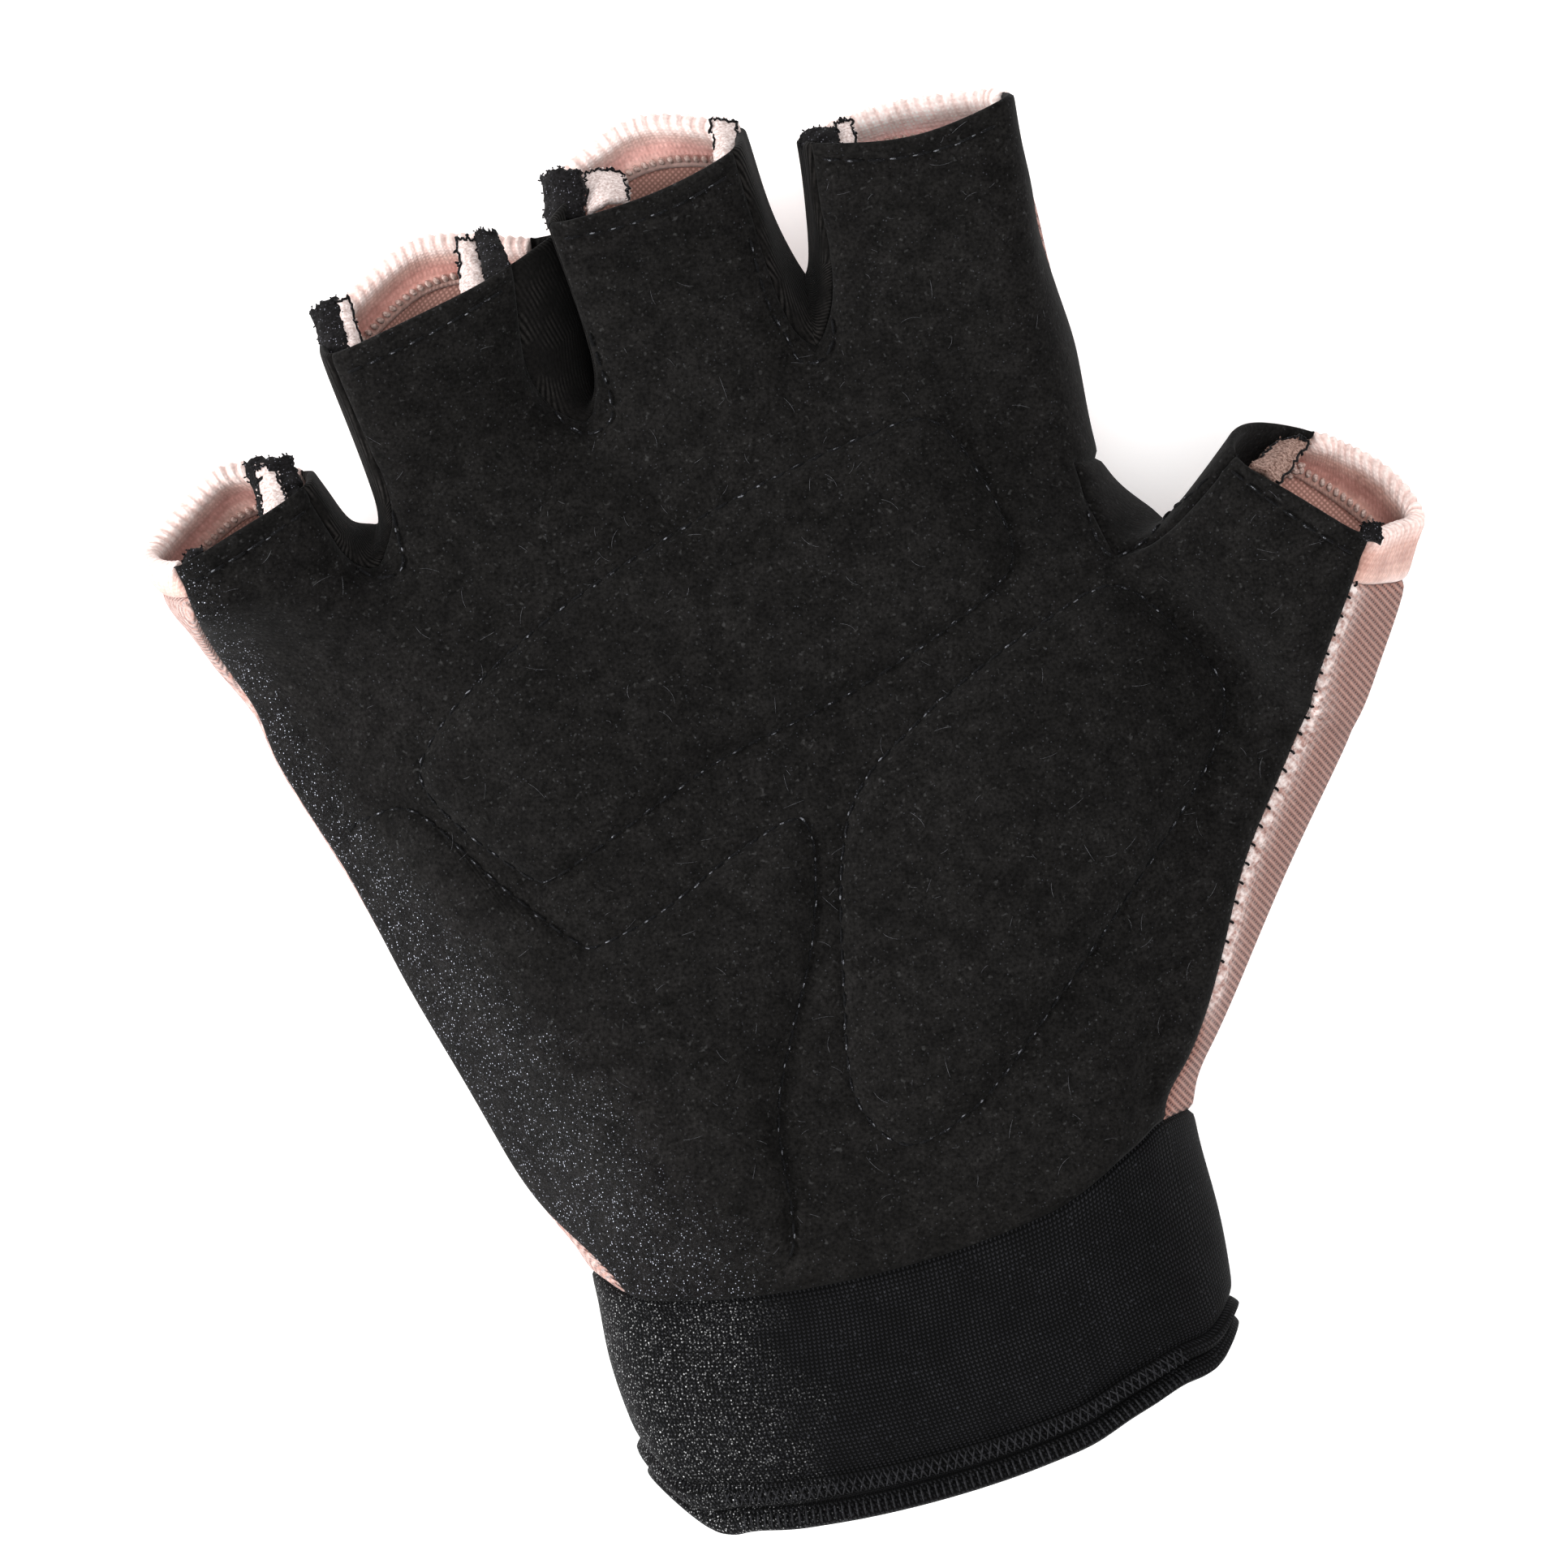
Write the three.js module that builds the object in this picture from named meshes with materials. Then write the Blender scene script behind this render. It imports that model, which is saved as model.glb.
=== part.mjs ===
// Fingerless cycling glove for the right hand, lying palm up on its back.
// Millimetres. X runs across the palm towards the thumb, Y from the wrist to the fingers, Z up out of the palm.
// One cage of four-sided faces, written as short tables, gives the whole skin. It is smoothed once,
// cut into the real panels along its seams, and each panel is thickened inwards into a closed solid.
import * as THREE from "three";

// The gap left at every seam, and how far a sharp corner may draw it out.
const SEAM_GAP = 0.3;
const MITRE_LIMIT = 2;

// How often the outward directions are evened out, and the height under which cloth lies flat on the table.
const NORMAL_PASSES = 3;
const REST_SNAP = 0.5;

// How deep the hem at the end of a digit is.
const HEM_DEPTH = 4.2;

// Palm columns run from 0 at the little finger's side to 12 at the index finger's and 15 at the thumb's.
const INDEX_COLUMN = 12;
const THUMB_COLUMN = 15;
const CROTCH_COLUMNS = [3, 6, 9];

// One row per section of the hand and cuff, from the hem to the thumb crotch.
// left and right are the outline, seamL and seamR the palm panel's edges, index is column 12,
// bow is how far the middle of the palm row hangs towards the wrist, and backBow the same on the back.
// top is the palm's height, leftZ and rightZ the outline's, seamZL and seamZR the seams', hollow the palm's dent.
const BODY_ROWS = [
  { name: "hem_end", left: [-32.0, -67.5], seamL: [-27.4, -73.6], index: [19.5, -71.8], seamR: [30.4, -68.0],
    right: [32.6, -64.8], bow: -3.2, backBow: 3.4, top: 29.3, leftZ: 15.0, rightZ: 15.0,
    seamZL: 22.5, seamZR: 22.5, hollow: 0.0 },
  { name: "roll_middle", left: [-32.5, -65.4], seamL: [-28.4, -71.0], index: [19.6, -69.6], seamR: [31.0, -65.9],
    right: [33.2, -63.0], bow: -3.2, backBow: 3.7, top: 29.5, leftZ: 15.0, rightZ: 15.0,
    seamZL: 22.5, seamZR: 22.5, hollow: 0.0 },
  { name: "band_end", left: [-33.1, -62.4], seamL: [-30.4, -67.4], index: [19.6, -67.3], seamR: [31.2, -63.8],
    right: [33.4, -61.0], bow: -3.6, backBow: 4.0, top: 29.5, leftZ: 15.0, rightZ: 15.0,
    seamZL: 22.5, seamZR: 22.5, hollow: 0.0 },
  { name: "cuff", left: [-34.3, -53.0], seamL: [-31.9, -56.4], index: [20.8, -57.0], seamR: [30.9, -53.0],
    right: [33.9, -51.5], bow: -4.2, backBow: 3.0, top: 29.0, leftZ: 14.5, rightZ: 14.5,
    seamZL: 22.0, seamZR: 22.0, hollow: 0.0 },
  { name: "wrist", left: [-34.4, -43.6], seamL: [-31.3, -46.6], index: [22.4, -45.4], seamR: [30.6, -41.0],
    right: [33.7, -40.6], bow: -4.4, backBow: 2.0, top: 28.6, leftZ: 13.0, rightZ: 13.0,
    seamZL: 21.0, seamZR: 22.0, hollow: 0.3 },
  { name: "heel_low", left: [-37.8, -34.6], seamL: [-38.0, -36.0], index: [26.6, -29.5], seamR: [34.2, -35.4],
    right: [37.3, -33.8], bow: -4.0, backBow: 0.0, top: 30.0, leftZ: 7.0, rightZ: 10.0,
    seamZL: 12.0, seamZR: 23.0, hollow: 0.9 },
  { name: "heel", left: [-41.4, -22.0], seamL: [-42.8, -23.0], index: [29.9, -15.0], seamR: [39.5, -27.0],
    right: [42.4, -26.8], bow: -2.5, backBow: 0.0, top: 31.0, leftZ: 6.8, rightZ: 9.5,
    seamZL: 11.5, seamZR: 23.5, hollow: 1.6 },
  { name: "mid_palm", left: [-45.4, -9.5], seamL: [-47.0, -10.2], index: [32.8, -2.0], seamR: [44.6, -16.7],
    right: [48.0, -19.0], bow: -0.5, backBow: 0.0, top: 31.0, leftZ: 6.8, rightZ: 9.5,
    seamZL: 11.5, seamZR: 24.0, hollow: 2.0 },
  { name: "palm", left: [-49.4, 4.2], seamL: [-51.1, 3.8], index: [35.4, 9.6], seamR: [49.6, -9.1],
    right: [53.4, -11.7], bow: 2.0, backBow: 0.0, top: 30.0, leftZ: 6.8, rightZ: 9.5,
    seamZL: 11.5, seamZR: 24.5, hollow: 1.6 },
  { name: "thumb_crotch", left: [-54.0, 17.0], seamL: [-55.7, 16.8], index: [38.2, 20.6], seamR: [54.3, -2.4],
    right: [58.7, -5.0], bow: 4.6, backBow: 2.0, top: 28.8, leftZ: 6.8, rightZ: 9.5,
    seamZL: 11.5, seamZR: 25.0, hollow: 0.8 },
];

// The piece that starts at each row of the cuff.
const CUFF_PIECES = { hem_end: "cuff_hem_lower", roll_middle: "cuff_hem_upper", band_end: "cuff_band",
  cuff: "cuff_band" };

// The two rows above the thumb crotch end at the index finger's side.
const KNUCKLE_ROWS = [
  { name: "knuckle", left: [-56.0, 23.4], seamL: [-57.0, 23.2], index: [36.4, 31.0], right: [38.8, 31.0],
    bow: 6.4, backBow: 3.0, top: 28.2, leftZ: 7.0, seamZL: 12.0, indexZ: 23.5, rightZ: 13.0, hollow: 0.2 },
  { name: "finger_base", left: [-59.4, 29.6], seamL: [-59.3, 29.3], index: [36.2, 42.5], right: [38.8, 42.5],
    bow: 9.0, backBow: 7.0, top: 28.6, leftZ: 8.5, seamZL: 15.0, indexZ: 24.5, rightZ: 13.5, hollow: 0.0 },
];

// Each finger gap: palm edge, middle of the web and back edge, with the height of each.
const CROTCHES = [
  { column: 3, palm: [-40.4, 36.4, 24.6], web: [-40.0, 41.0, 14.6], back: [-40.4, 36.6, 4.6] },
  { column: 6, palm: [-14.8, 46.8, 26.0], web: [-11.8, 50.0, 15.5], back: [-12.8, 46.6, 4.8] },
  { column: 9, palm: [11.3, 49.4, 26.6], web: [12.2, 55.4, 17.0], back: [12.0, 51.6, 5.6] },
];
const THUMB_CROTCH = { web: [43.2, 24.4, 14.5], back: [40.5, 20.5, 3.5] };

// Two sections per digit, one near its base and one at its cut end.
// left and right are the palm strip's corners, z its height, depth the tube's, reach how much further the back
// edge goes than the palm edge at its left, middle and right, lean how far the back is shifted towards the thumb,
// outL and outR how far the sides stand out, cutL how far the left seam's end turns to the right, dip how far
// the palm edge is drawn in, and crown its rise.
const DIGITS = {
  little: [
    { left: [-60.7, 33.8], right: [-43.6, 40.2], z: 29.3, depth: 22.5, reach: [1.8, 2.2, 1.8],
      lean: 0.0, outL: 1.3, outR: 1.8, dip: 0.0, crown: 2.6 },
    { left: [-62.0, 40.4], right: [-45.7, 46.2], z: 32.0, depth: 17.0, reach: [4.6, 6.7, 2.2],
      lean: 0.4, outL: 3.0, outR: 0.9, dip: 0.4, crown: 1.8 },
  ],
  ring: [
    { left: [-37.9, 42.6], right: [-19.2, 53.0], z: 30.6, depth: 22.0, reach: [2.0, 2.5, 2.0],
      lean: 1.4, outL: 1.4, outR: 7.4, dip: 0.0, crown: 2.4 },
    { left: [-40.5, 59.4], right: [-18.6, 64.6], z: 35.4, depth: 17.5, reach: [4.2, 7.1, 2.4],
      lean: 1.6, outL: 0.9, outR: 5.4, dip: 0.5, crown: 2.0 },
  ],
  middle: [
    { left: [-12.9, 54.0], right: [8.6, 57.0], z: 31.2, depth: 22.5, reach: [2.0, 2.5, 2.0],
      lean: 0.6, outL: -3.4, outR: 1.4, dip: 0.0, crown: 2.2 },
    { left: [-14.3, 68.2], right: [7.4, 71.6], z: 36.4, depth: 17.5, reach: [4.4, 7.2, 3.0],
      lean: 1.0, outL: -2.8, outR: 0.9, dip: 1.2, crown: 2.0 },
  ],
  index: [
    { left: [14.4, 57.6], right: [36.4, 53.4], z: 30.9, depth: 22.0, reach: [1.5, 1.8, 1.5],
      lean: -0.4, outL: 0.4, outR: 1.6, dip: 0.0, crown: 2.4 },
    { left: [15.1, 70.6], right: [37.4, 70.8], z: 34.8, depth: 17.0, reach: [1.3, 2.7, 1.6],
      lean: -0.9, outL: -0.3, outR: 0.7, dip: 1.6, crown: 2.0 },
  ],
  thumb: [
    { left: [44.6, 22.0], right: [56.6, 1.4], z: 32.0, depth: 24.0, reach: [2.5, 3.0, 2.5],
      lean: 3.0, outL: 2.0, outR: 3.5, cutL: 0.0, dip: 0.0, crown: 3.0 },
    { left: [52.9, 28.0], right: [65.7, 15.9], z: 33.6, depth: 18.5, reach: [7.0, 7.7, 5.2],
      lean: 4.2, outL: 2.6, outR: 0.5, cutL: 3.2, dip: 0.6, crown: 2.0 },
  ],
};

// A digit longer than this gets one more section, at this share of its length.
const LONG_DIGIT = 15;
const MIDDLE_SPLIT = 0.4;

// Pad outlines in plan, clockwise from the corner nearest the fingers, about the point they are filled from.
const PADS = {
  upper_palm_pad: { centre: [-6, 19], outline: [[21.4, 38.8], [24.6, 34.6], [27.3, 22.4], [24.6, 19.4], [8.2, 12.1],
    [-9.0, 7.4], [-26.4, -0.6], [-30.8, -0.2], [-40.6, 12.2], [-38.2, 16.8], [-23.6, 26.4], [-3.2, 34.2],
    [14.2, 38.4]] },
  heel_pad: { centre: [-24, -27], outline: [[-46.8, 9.4], [-42.6, 10.0], [-34.2, -0.2], [-28.2, -8.4], [-22.6, -8.6],
    [-5.6, -1.4], [-0.9, -3.0], [-2.6, -12.6], [-10.4, -30.6], [-13.2, -46.6], [-24.6, -45.6], [-30.4, -40.6],
    [-37.8, -24.6], [-43.6, -6.6]] },
  thumb_base_pad: { centre: [22, -9], outline: [[37.4, 16.8], [43.8, 9.4], [46.4, 2.8], [42.6, -4.6], [34.0, -13.8],
    [22.0, -25.2], [9.8, -35.4], [2.2, -37.4], [-1.8, -32.2], [-0.9, -20.6], [4.4, -0.4], [13.0, 6.8],
    [28.8, 14.6]] },
};

// Points round a pad, how thick it is at its middle and at its edge, and how far it stays off the palm.
const PAD_STEPS = 32;
const PAD_RISE = 1.3;
const PAD_EDGE = 0.5;
const PAD_GAP = 0.45;
const PAD_RINGS = [{ out: 1.0, rise: 0.0 }, { out: 0.92, rise: 0.75 }, { out: 0.65, rise: 1.0 },
  { out: 0.33, rise: 1.0 }];

const COLOURS = { suede: 0x1b1918, knit: 0xddb2a8, cuff: 0x17181c };

// The cloth of each piece, by the start of its name: how thick it is, and how far a rolled edge swells out.
const CLOTH = {
  palm_panel: { thick: 1.0, swell: 0, colour: "suede" },
  back_panel: { thick: 1.0, swell: 0, colour: "knit" },
  fourchette: { thick: 1.0, swell: 0, colour: "suede" },
  thumb_gusset: { thick: 1.0, swell: 0, colour: "suede" },
  binding: { thick: 1.7, swell: 0, colour: "knit" },
  cuff_band: { thick: 1.4, swell: 0, colour: "cuff" },
  cuff_hem: { thick: 1.9, swell: 0.6, colour: "cuff" },
};

const mix = (a, b, t) => a + (b - a) * t;
const mix2 = (p, q, t) => [mix(p[0], q[0], t), mix(p[1], q[1], t)];
const add = (p, q, k = 1) => p.map((value, i) => value + q[i] * k);
const length = (p) => Math.hypot(...p);
const unit = (p) => p.map((value) => value / (length(p) || 1));
const cross = (p, q) => [p[1] * q[2] - p[2] * q[1], p[2] * q[0] - p[0] * q[2], p[0] * q[1] - p[1] * q[0]];

// The cage of the whole skin.
const cage = { points: [], quads: [], tags: [] };

function addPoint(point) {
  cage.points.push(point);
  return cage.points.length - 1;
}

// Joins two rings of the same length with one quad per segment, tagged with the panel it belongs to.
function addBand(lower, upper, tags) {
  lower.forEach((corner, i) => {
    const next = (i + 1) % lower.length;
    cage.quads.push([corner, lower[next], upper[next], upper[i]]);
    cage.tags.push(tags[i]);
  });
}

// How high the palm stands over its seam at a share s of the way across it.
function palmRise(s) {
  return 1 - Math.abs(2 * s - 1) ** 4;
}

function palmPoint(row, column, last) {
  const toThumb = column > INDEX_COLUMN;
  const across = toThumb ? (column - INDEX_COLUMN) / (last - INDEX_COLUMN) : column / INDEX_COLUMN;
  const plan = toThumb ? mix2(row.index, row.seamR, across) : mix2(row.seamL, row.index, across);
  const bow = toThumb ? 0 : row.bow * (4 * across * (1 - across)) ** 0.7;
  const s = column / last;
  const edge = mix(row.seamZL, row.seamZR ?? row.indexZ, s);
  const dent = row.hollow * Math.exp(-(((s - 0.45) / 0.16) ** 2));
  return [plan[0], plan[1] + bow, mix(edge, row.top, palmRise(s)) - dent];
}

// The back lies flat on the table and turns up only near its two edges.
function backPoint(row, column, last) {
  const s = column / last;
  const inner = 0.03 + 0.94 * s;
  const toThumb = inner * last > INDEX_COLUMN;
  const across = toThumb ? (inner * last - INDEX_COLUMN) / (last - INDEX_COLUMN) : (inner * last) / INDEX_COLUMN;
  const right = row.seamR ?? row.right;
  const plan = toThumb ? mix2(row.index, right, across) : mix2(row.left, row.index, across);
  const edge = Math.abs(2 * s - 1) ** 14;
  const lift = mix(row.leftZ, row.rightZ, s) * 0.3;
  return [plan[0], plan[1] + row.backBow * (1 - edge), edge * lift];
}

function columns(last, point) {
  return Array.from({ length: last + 1 }, (_, column) => addPoint(point(column)));
}

// A ring goes across the palm, round the thumb's or index finger's side, across the back and round the other side.
function ringOf(section, from, to, left, right) {
  return [...section.palm.slice(from, to + 1), right, ...section.back.slice(from, to + 1).reverse(), left];
}

function bodySection(row, last) {
  return {
    palm: columns(last, (column) => palmPoint(row, column, last)),
    back: columns(last, (column) => backPoint(row, column, last)),
    left: addPoint([...row.left, row.leftZ]),
    right: addPoint([...row.right, row.rightZ]),
  };
}

function tagsFor(count, sides) {
  const palm = Array(count).fill(sides.palm);
  const back = Array(count).fill(sides.back);
  return [...palm, sides.rightTop, sides.rightLow, ...back, sides.leftLow, sides.leftTop];
}

function digitRing(section) {
  const { left, right, z, depth, reach, lean, outL, outR, cutL = 0, dip, crown } = section;
  const across = unit([right[0] - left[0], right[1] - left[1]]);
  const along = [-across[1], across[0]];
  const place = (share, forward, aside, height) => {
    const plan = add(add(mix2(left, right, share), along, forward), across, aside);
    return [plan[0], plan[1], height];
  };
  const low = z - depth;
  const middle = z - crown - depth * 0.46;
  return [
    place(0, 0, 0, z - crown),
    place(0.33, -dip, 0, z),
    place(0.67, -dip, 0, z),
    place(1, 0, 0, z - crown),
    place(1, reach[2] * 0.55, lean * 0.5 + outR, middle),
    place(1, reach[2], lean * 0.9 + outR * 0.3, low + crown * 0.9),
    place(0.67, reach[1], lean, low),
    place(0.33, reach[1], lean, low),
    place(0, reach[0], lean * 0.9 - outL * 0.3 + cutL, low + crown * 0.9),
    place(0, reach[0] * 0.55, lean * 0.5 - outL, middle),
  ];
}

function mixSections(a, b, t) {
  const blend = (key) => (Array.isArray(a[key]) ? a[key].map((value, i) => mix(value, b[key][i], t))
    : mix(a[key], b[key], t));
  return Object.fromEntries(Object.keys(a).map((key) => [key, blend(key)]));
}

// Adds a digit's tube above its base ring, ending in a hem whose back half is the knitted binding.
function addDigit(name, baseRing, sides) {
  const [base, tip] = DIGITS[name];
  const long = length(add(mix2(tip.left, tip.right, 0.5), mix2(base.left, base.right, 0.5), -1));
  const middle = long > LONG_DIGIT ? [MIDDLE_SPLIT] : [];
  const splits = [0, ...middle, Math.max(0.5, 1 - HEM_DEPTH / long), 1];
  let below = baseRing;
  splits.forEach((t, i) => {
    const ring = digitRing(mixSections(base, tip, t)).map(addPoint);
    const isHem = i === splits.length - 1;
    const tags = tagsFor(3, sides).map((tag) => (isHem && tag === "back_panel" ? `binding_${name}` : tag));
    addBand(below, ring, tags);
    below = ring;
  });
}

function buildCage() {
  const skin = { palm: "palm_panel", back: "back_panel", rightTop: "back_panel", rightLow: "back_panel",
    leftLow: "back_panel", leftTop: "back_panel" };
  const sections = BODY_ROWS.map((row) => bodySection(row, THUMB_COLUMN));
  const rings = sections.map((section) => ringOf(section, 0, THUMB_COLUMN, section.left, section.right));
  rings.slice(1).forEach((ring, i) => {
    const cloth = CUFF_PIECES[BODY_ROWS[i].name];
    const tags = cloth ? Object.fromEntries(Object.keys(skin).map((key) => [key, cloth])) : skin;
    addBand(rings[i], ring, tagsFor(THUMB_COLUMN, tags));
  });

  // The thumb leaves the row of its crotch, and the fingers' share of that row goes on.
  const split = sections.at(-1);
  cage.points[split.back[INDEX_COLUMN]] = THUMB_CROTCH.back;
  const thumbWeb = addPoint(THUMB_CROTCH.web);
  const thumbRing = ringOf(split, INDEX_COLUMN, THUMB_COLUMN, thumbWeb, split.right);
  addDigit("thumb", thumbRing, { ...skin, leftLow: "thumb_gusset", leftTop: "thumb_gusset" });

  let below = ringOf(split, 0, INDEX_COLUMN, split.left, thumbWeb);
  const upper = KNUCKLE_ROWS.map((row) => bodySection(row, INDEX_COLUMN));
  upper.forEach((section, i) => {
    if (i === 1) {
      CROTCHES.forEach(({ column, palm, back }) => {
        cage.points[section.palm[column]] = palm;
        cage.points[section.back[column]] = back;
      });
    }
    const ring = ringOf(section, 0, INDEX_COLUMN, section.left, section.right);
    const side = i === 0 ? ["thumb_gusset", "thumb_gusset"] : ["palm_panel", "back_panel"];
    addBand(below, ring, tagsFor(INDEX_COLUMN, { ...skin, rightTop: side[0], rightLow: side[1] }));
    below = ring;
  });

  const base = upper[1];
  spreadBetweenCrotches(base);
  const webs = CROTCHES.map(({ web }) => addPoint(web));
  const gussets = ["fourchette_little_ring", "fourchette_ring_middle", "fourchette_middle_index"];
  const edges = [base.left, ...webs, base.right];
  ["little", "ring", "middle", "index"].forEach((name, i) => {
    const from = i === 0 ? 0 : CROTCH_COLUMNS[i - 1];
    const to = i === 3 ? INDEX_COLUMN : CROTCH_COLUMNS[i];
    const sides = {
      ...skin,
      leftLow: gussets[i - 1] ?? "back_panel",
      leftTop: gussets[i - 1] ?? "back_panel",
      rightTop: gussets[i] ?? "palm_panel",
      rightLow: gussets[i] ?? "back_panel",
    };
    addDigit(name, ringOf(base, from, to, edges[i], edges[i + 1]), sides);
  });
}

// The palm's height at each column of the finger base row.
const KNUCKLE_HEIGHTS = { 1: 25.6, 2: 27.6, 4: 28.8, 5: 29.2, 7: 29.4, 8: 29.4, 10: 29.2, 11: 28.2 };

// Sets the palm and back points between two finger gaps on a line from one to the next, raised a little.
function spreadBetweenCrotches(section) {
  [section.palm, section.back].forEach((line, side) => {
    const stops = [0, ...CROTCH_COLUMNS, INDEX_COLUMN];
    stops.slice(1).forEach((stop, i) => {
      const start = stops[i];
      for (let column = start + 1; column < stop; column += 1) {
        const t = (column - start) / (stop - start);
        const from = cage.points[line[start]];
        const to = cage.points[line[stop]];
        const height = side === 0 ? KNUCKLE_HEIGHTS[column] : 0.6;
        cage.points[line[column]] = [mix(from[0], to[0], t), mix(from[1], to[1], t) + 1.2, height];
      }
    });
  });
}

// The neighbours of each vertex, its faces' far corners, and its two neighbours along an open edge.
function neighbourhood(mesh) {
  const around = mesh.points.map(() => ({ near: new Set(), far: [], edge: [] }));
  const uses = new Map();
  mesh.quads.forEach((quad) => {
    quad.forEach((corner, i) => {
      const next = quad[(i + 1) % 4];
      around[corner].near.add(next).add(quad[(i + 3) % 4]);
      around[corner].far.push(quad[(i + 2) % 4]);
      const key = Math.min(corner, next) * 1e6 + Math.max(corner, next);
      uses.set(key, (uses.get(key) ?? 0) + 1);
    });
  });
  uses.forEach((count, key) => {
    if (count === 1) {
      const a = Math.floor(key / 1e6);
      const b = key % 1e6;
      around[a].edge.push(b);
      around[b].edge.push(a);
    }
  });
  return around;
}

// Where each vertex ends up on the smooth surface that the mesh stands for.
function limitPoints(mesh, around) {
  return mesh.points.map((point, i) => {
    const { near, far, edge } = around[i];
    const at = (index, axis) => mesh.points[index][axis];
    return point.map((value, axis) => {
      if (edge.length) {
        return (at(edge[0], axis) + 4 * value + at(edge[1], axis)) / 6;
      }
      const n = near.size;
      const nearSum = [...near].reduce((sum, index) => sum + at(index, axis), 0);
      const farSum = far.reduce((sum, index) => sum + at(index, axis), 0);
      return (n * n * value + 4 * nearSum + farSum) / (n * (n + 5));
    });
  });
}

// Moves the cage outwards until its smooth surface passes through the points of the tables.
function fitCage(mesh) {
  const around = neighbourhood(mesh);
  const targets = mesh.points.map((point) => [...point]);
  for (let pass = 0; pass < 12; pass += 1) {
    const reached = limitPoints(mesh, around);
    mesh.points = mesh.points.map((point, i) => add(point, add(targets[i], reached[i], -1), 0.8));
  }
}

// One step of Catmull-Clark subdivision, keeping each face's tag.
function subdivide(mesh) {
  const around = neighbourhood(mesh);
  const average = (indices, points) => [0, 1, 2].map((axis) =>
    indices.reduce((sum, index) => sum + points[index][axis], 0) / indices.length);
  const faceCentres = mesh.quads.map((quad) => average(quad, mesh.points));
  const edges = new Map();
  mesh.quads.forEach((quad, face) => {
    quad.forEach((corner, i) => {
      const next = quad[(i + 1) % 4];
      const key = Math.min(corner, next) * 1e6 + Math.max(corner, next);
      const edge = edges.get(key) ?? { ends: [corner, next], faces: [] };
      edge.faces.push(face);
      edges.set(key, edge);
    });
  });
  const facesAt = mesh.points.map(() => []);
  mesh.quads.forEach((quad, face) => quad.forEach((corner) => facesAt[corner].push(face)));
  const points = mesh.points.map((point, i) => {
    const { near, edge } = around[i];
    if (edge.length) {
      return point.map((value, axis) =>
        (mesh.points[edge[0]][axis] + 6 * value + mesh.points[edge[1]][axis]) / 8);
    }
    const n = near.size;
    const faceMean = average(facesAt[i], faceCentres);
    const nearMean = average([...near], mesh.points);
    return point.map((value, axis) => (faceMean[axis] + nearMean[axis] + (n - 2) * value) / n);
  });
  const result = { points, quads: [], tags: [] };
  const faceIndex = faceCentres.map((centre) => result.points.push(centre) - 1);
  edges.forEach((edge) => {
    const middle = average(edge.ends, mesh.points);
    const centre = average(edge.faces, faceCentres);
    const point = edge.faces.length === 2 ? middle.map((value, axis) => (value + centre[axis]) / 2) : middle;
    edge.index = result.points.push(point) - 1;
  });
  mesh.quads.forEach((quad, face) => {
    const middles = quad.map((corner, i) => {
      const next = quad[(i + 1) % 4];
      return edges.get(Math.min(corner, next) * 1e6 + Math.max(corner, next)).index;
    });
    quad.forEach((corner, i) => {
      result.quads.push([corner, middles[i], faceIndex[face], middles[(i + 3) % 4]]);
      result.tags.push(mesh.tags[face]);
    });
  });
  return result;
}

// Outward directions, evened out with their neighbours so that a thickened panel doesn't fold into itself.
function vertexNormals(mesh) {
  let normals = mesh.points.map(() => [0, 0, 0]);
  mesh.quads.forEach((quad) => {
    const [a, b, c, d] = quad.map((index) => mesh.points[index]);
    const normal = cross(add(c, a, -1), add(d, b, -1));
    quad.forEach((index) => {
      normals[index] = add(normals[index], normal);
    });
  });
  const around = neighbourhood(mesh);
  normals = normals.map(unit);
  for (let pass = 0; pass < NORMAL_PASSES; pass += 1) {
    normals = normals.map((normal, i) =>
      unit([...around[i].near].reduce((sum, index) => add(sum, normals[index]), add(normal, normal))));
  }
  return normals;
}

function meshFrom(name, points, triangles, colour) {
  const geometry = new THREE.BufferGeometry();
  geometry.setAttribute("position", new THREE.Float32BufferAttribute(points.flat(), 3));
  geometry.setIndex(triangles.flat());
  geometry.computeVertexNormals();
  const mesh = new THREE.Mesh(geometry, new THREE.MeshStandardMaterial({ color: colour, roughness: 0.9 }));
  mesh.name = name;
  return mesh;
}

const twoTriangles = ([a, b, c, d]) => [[a, b, c], [a, c, d]];

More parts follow.
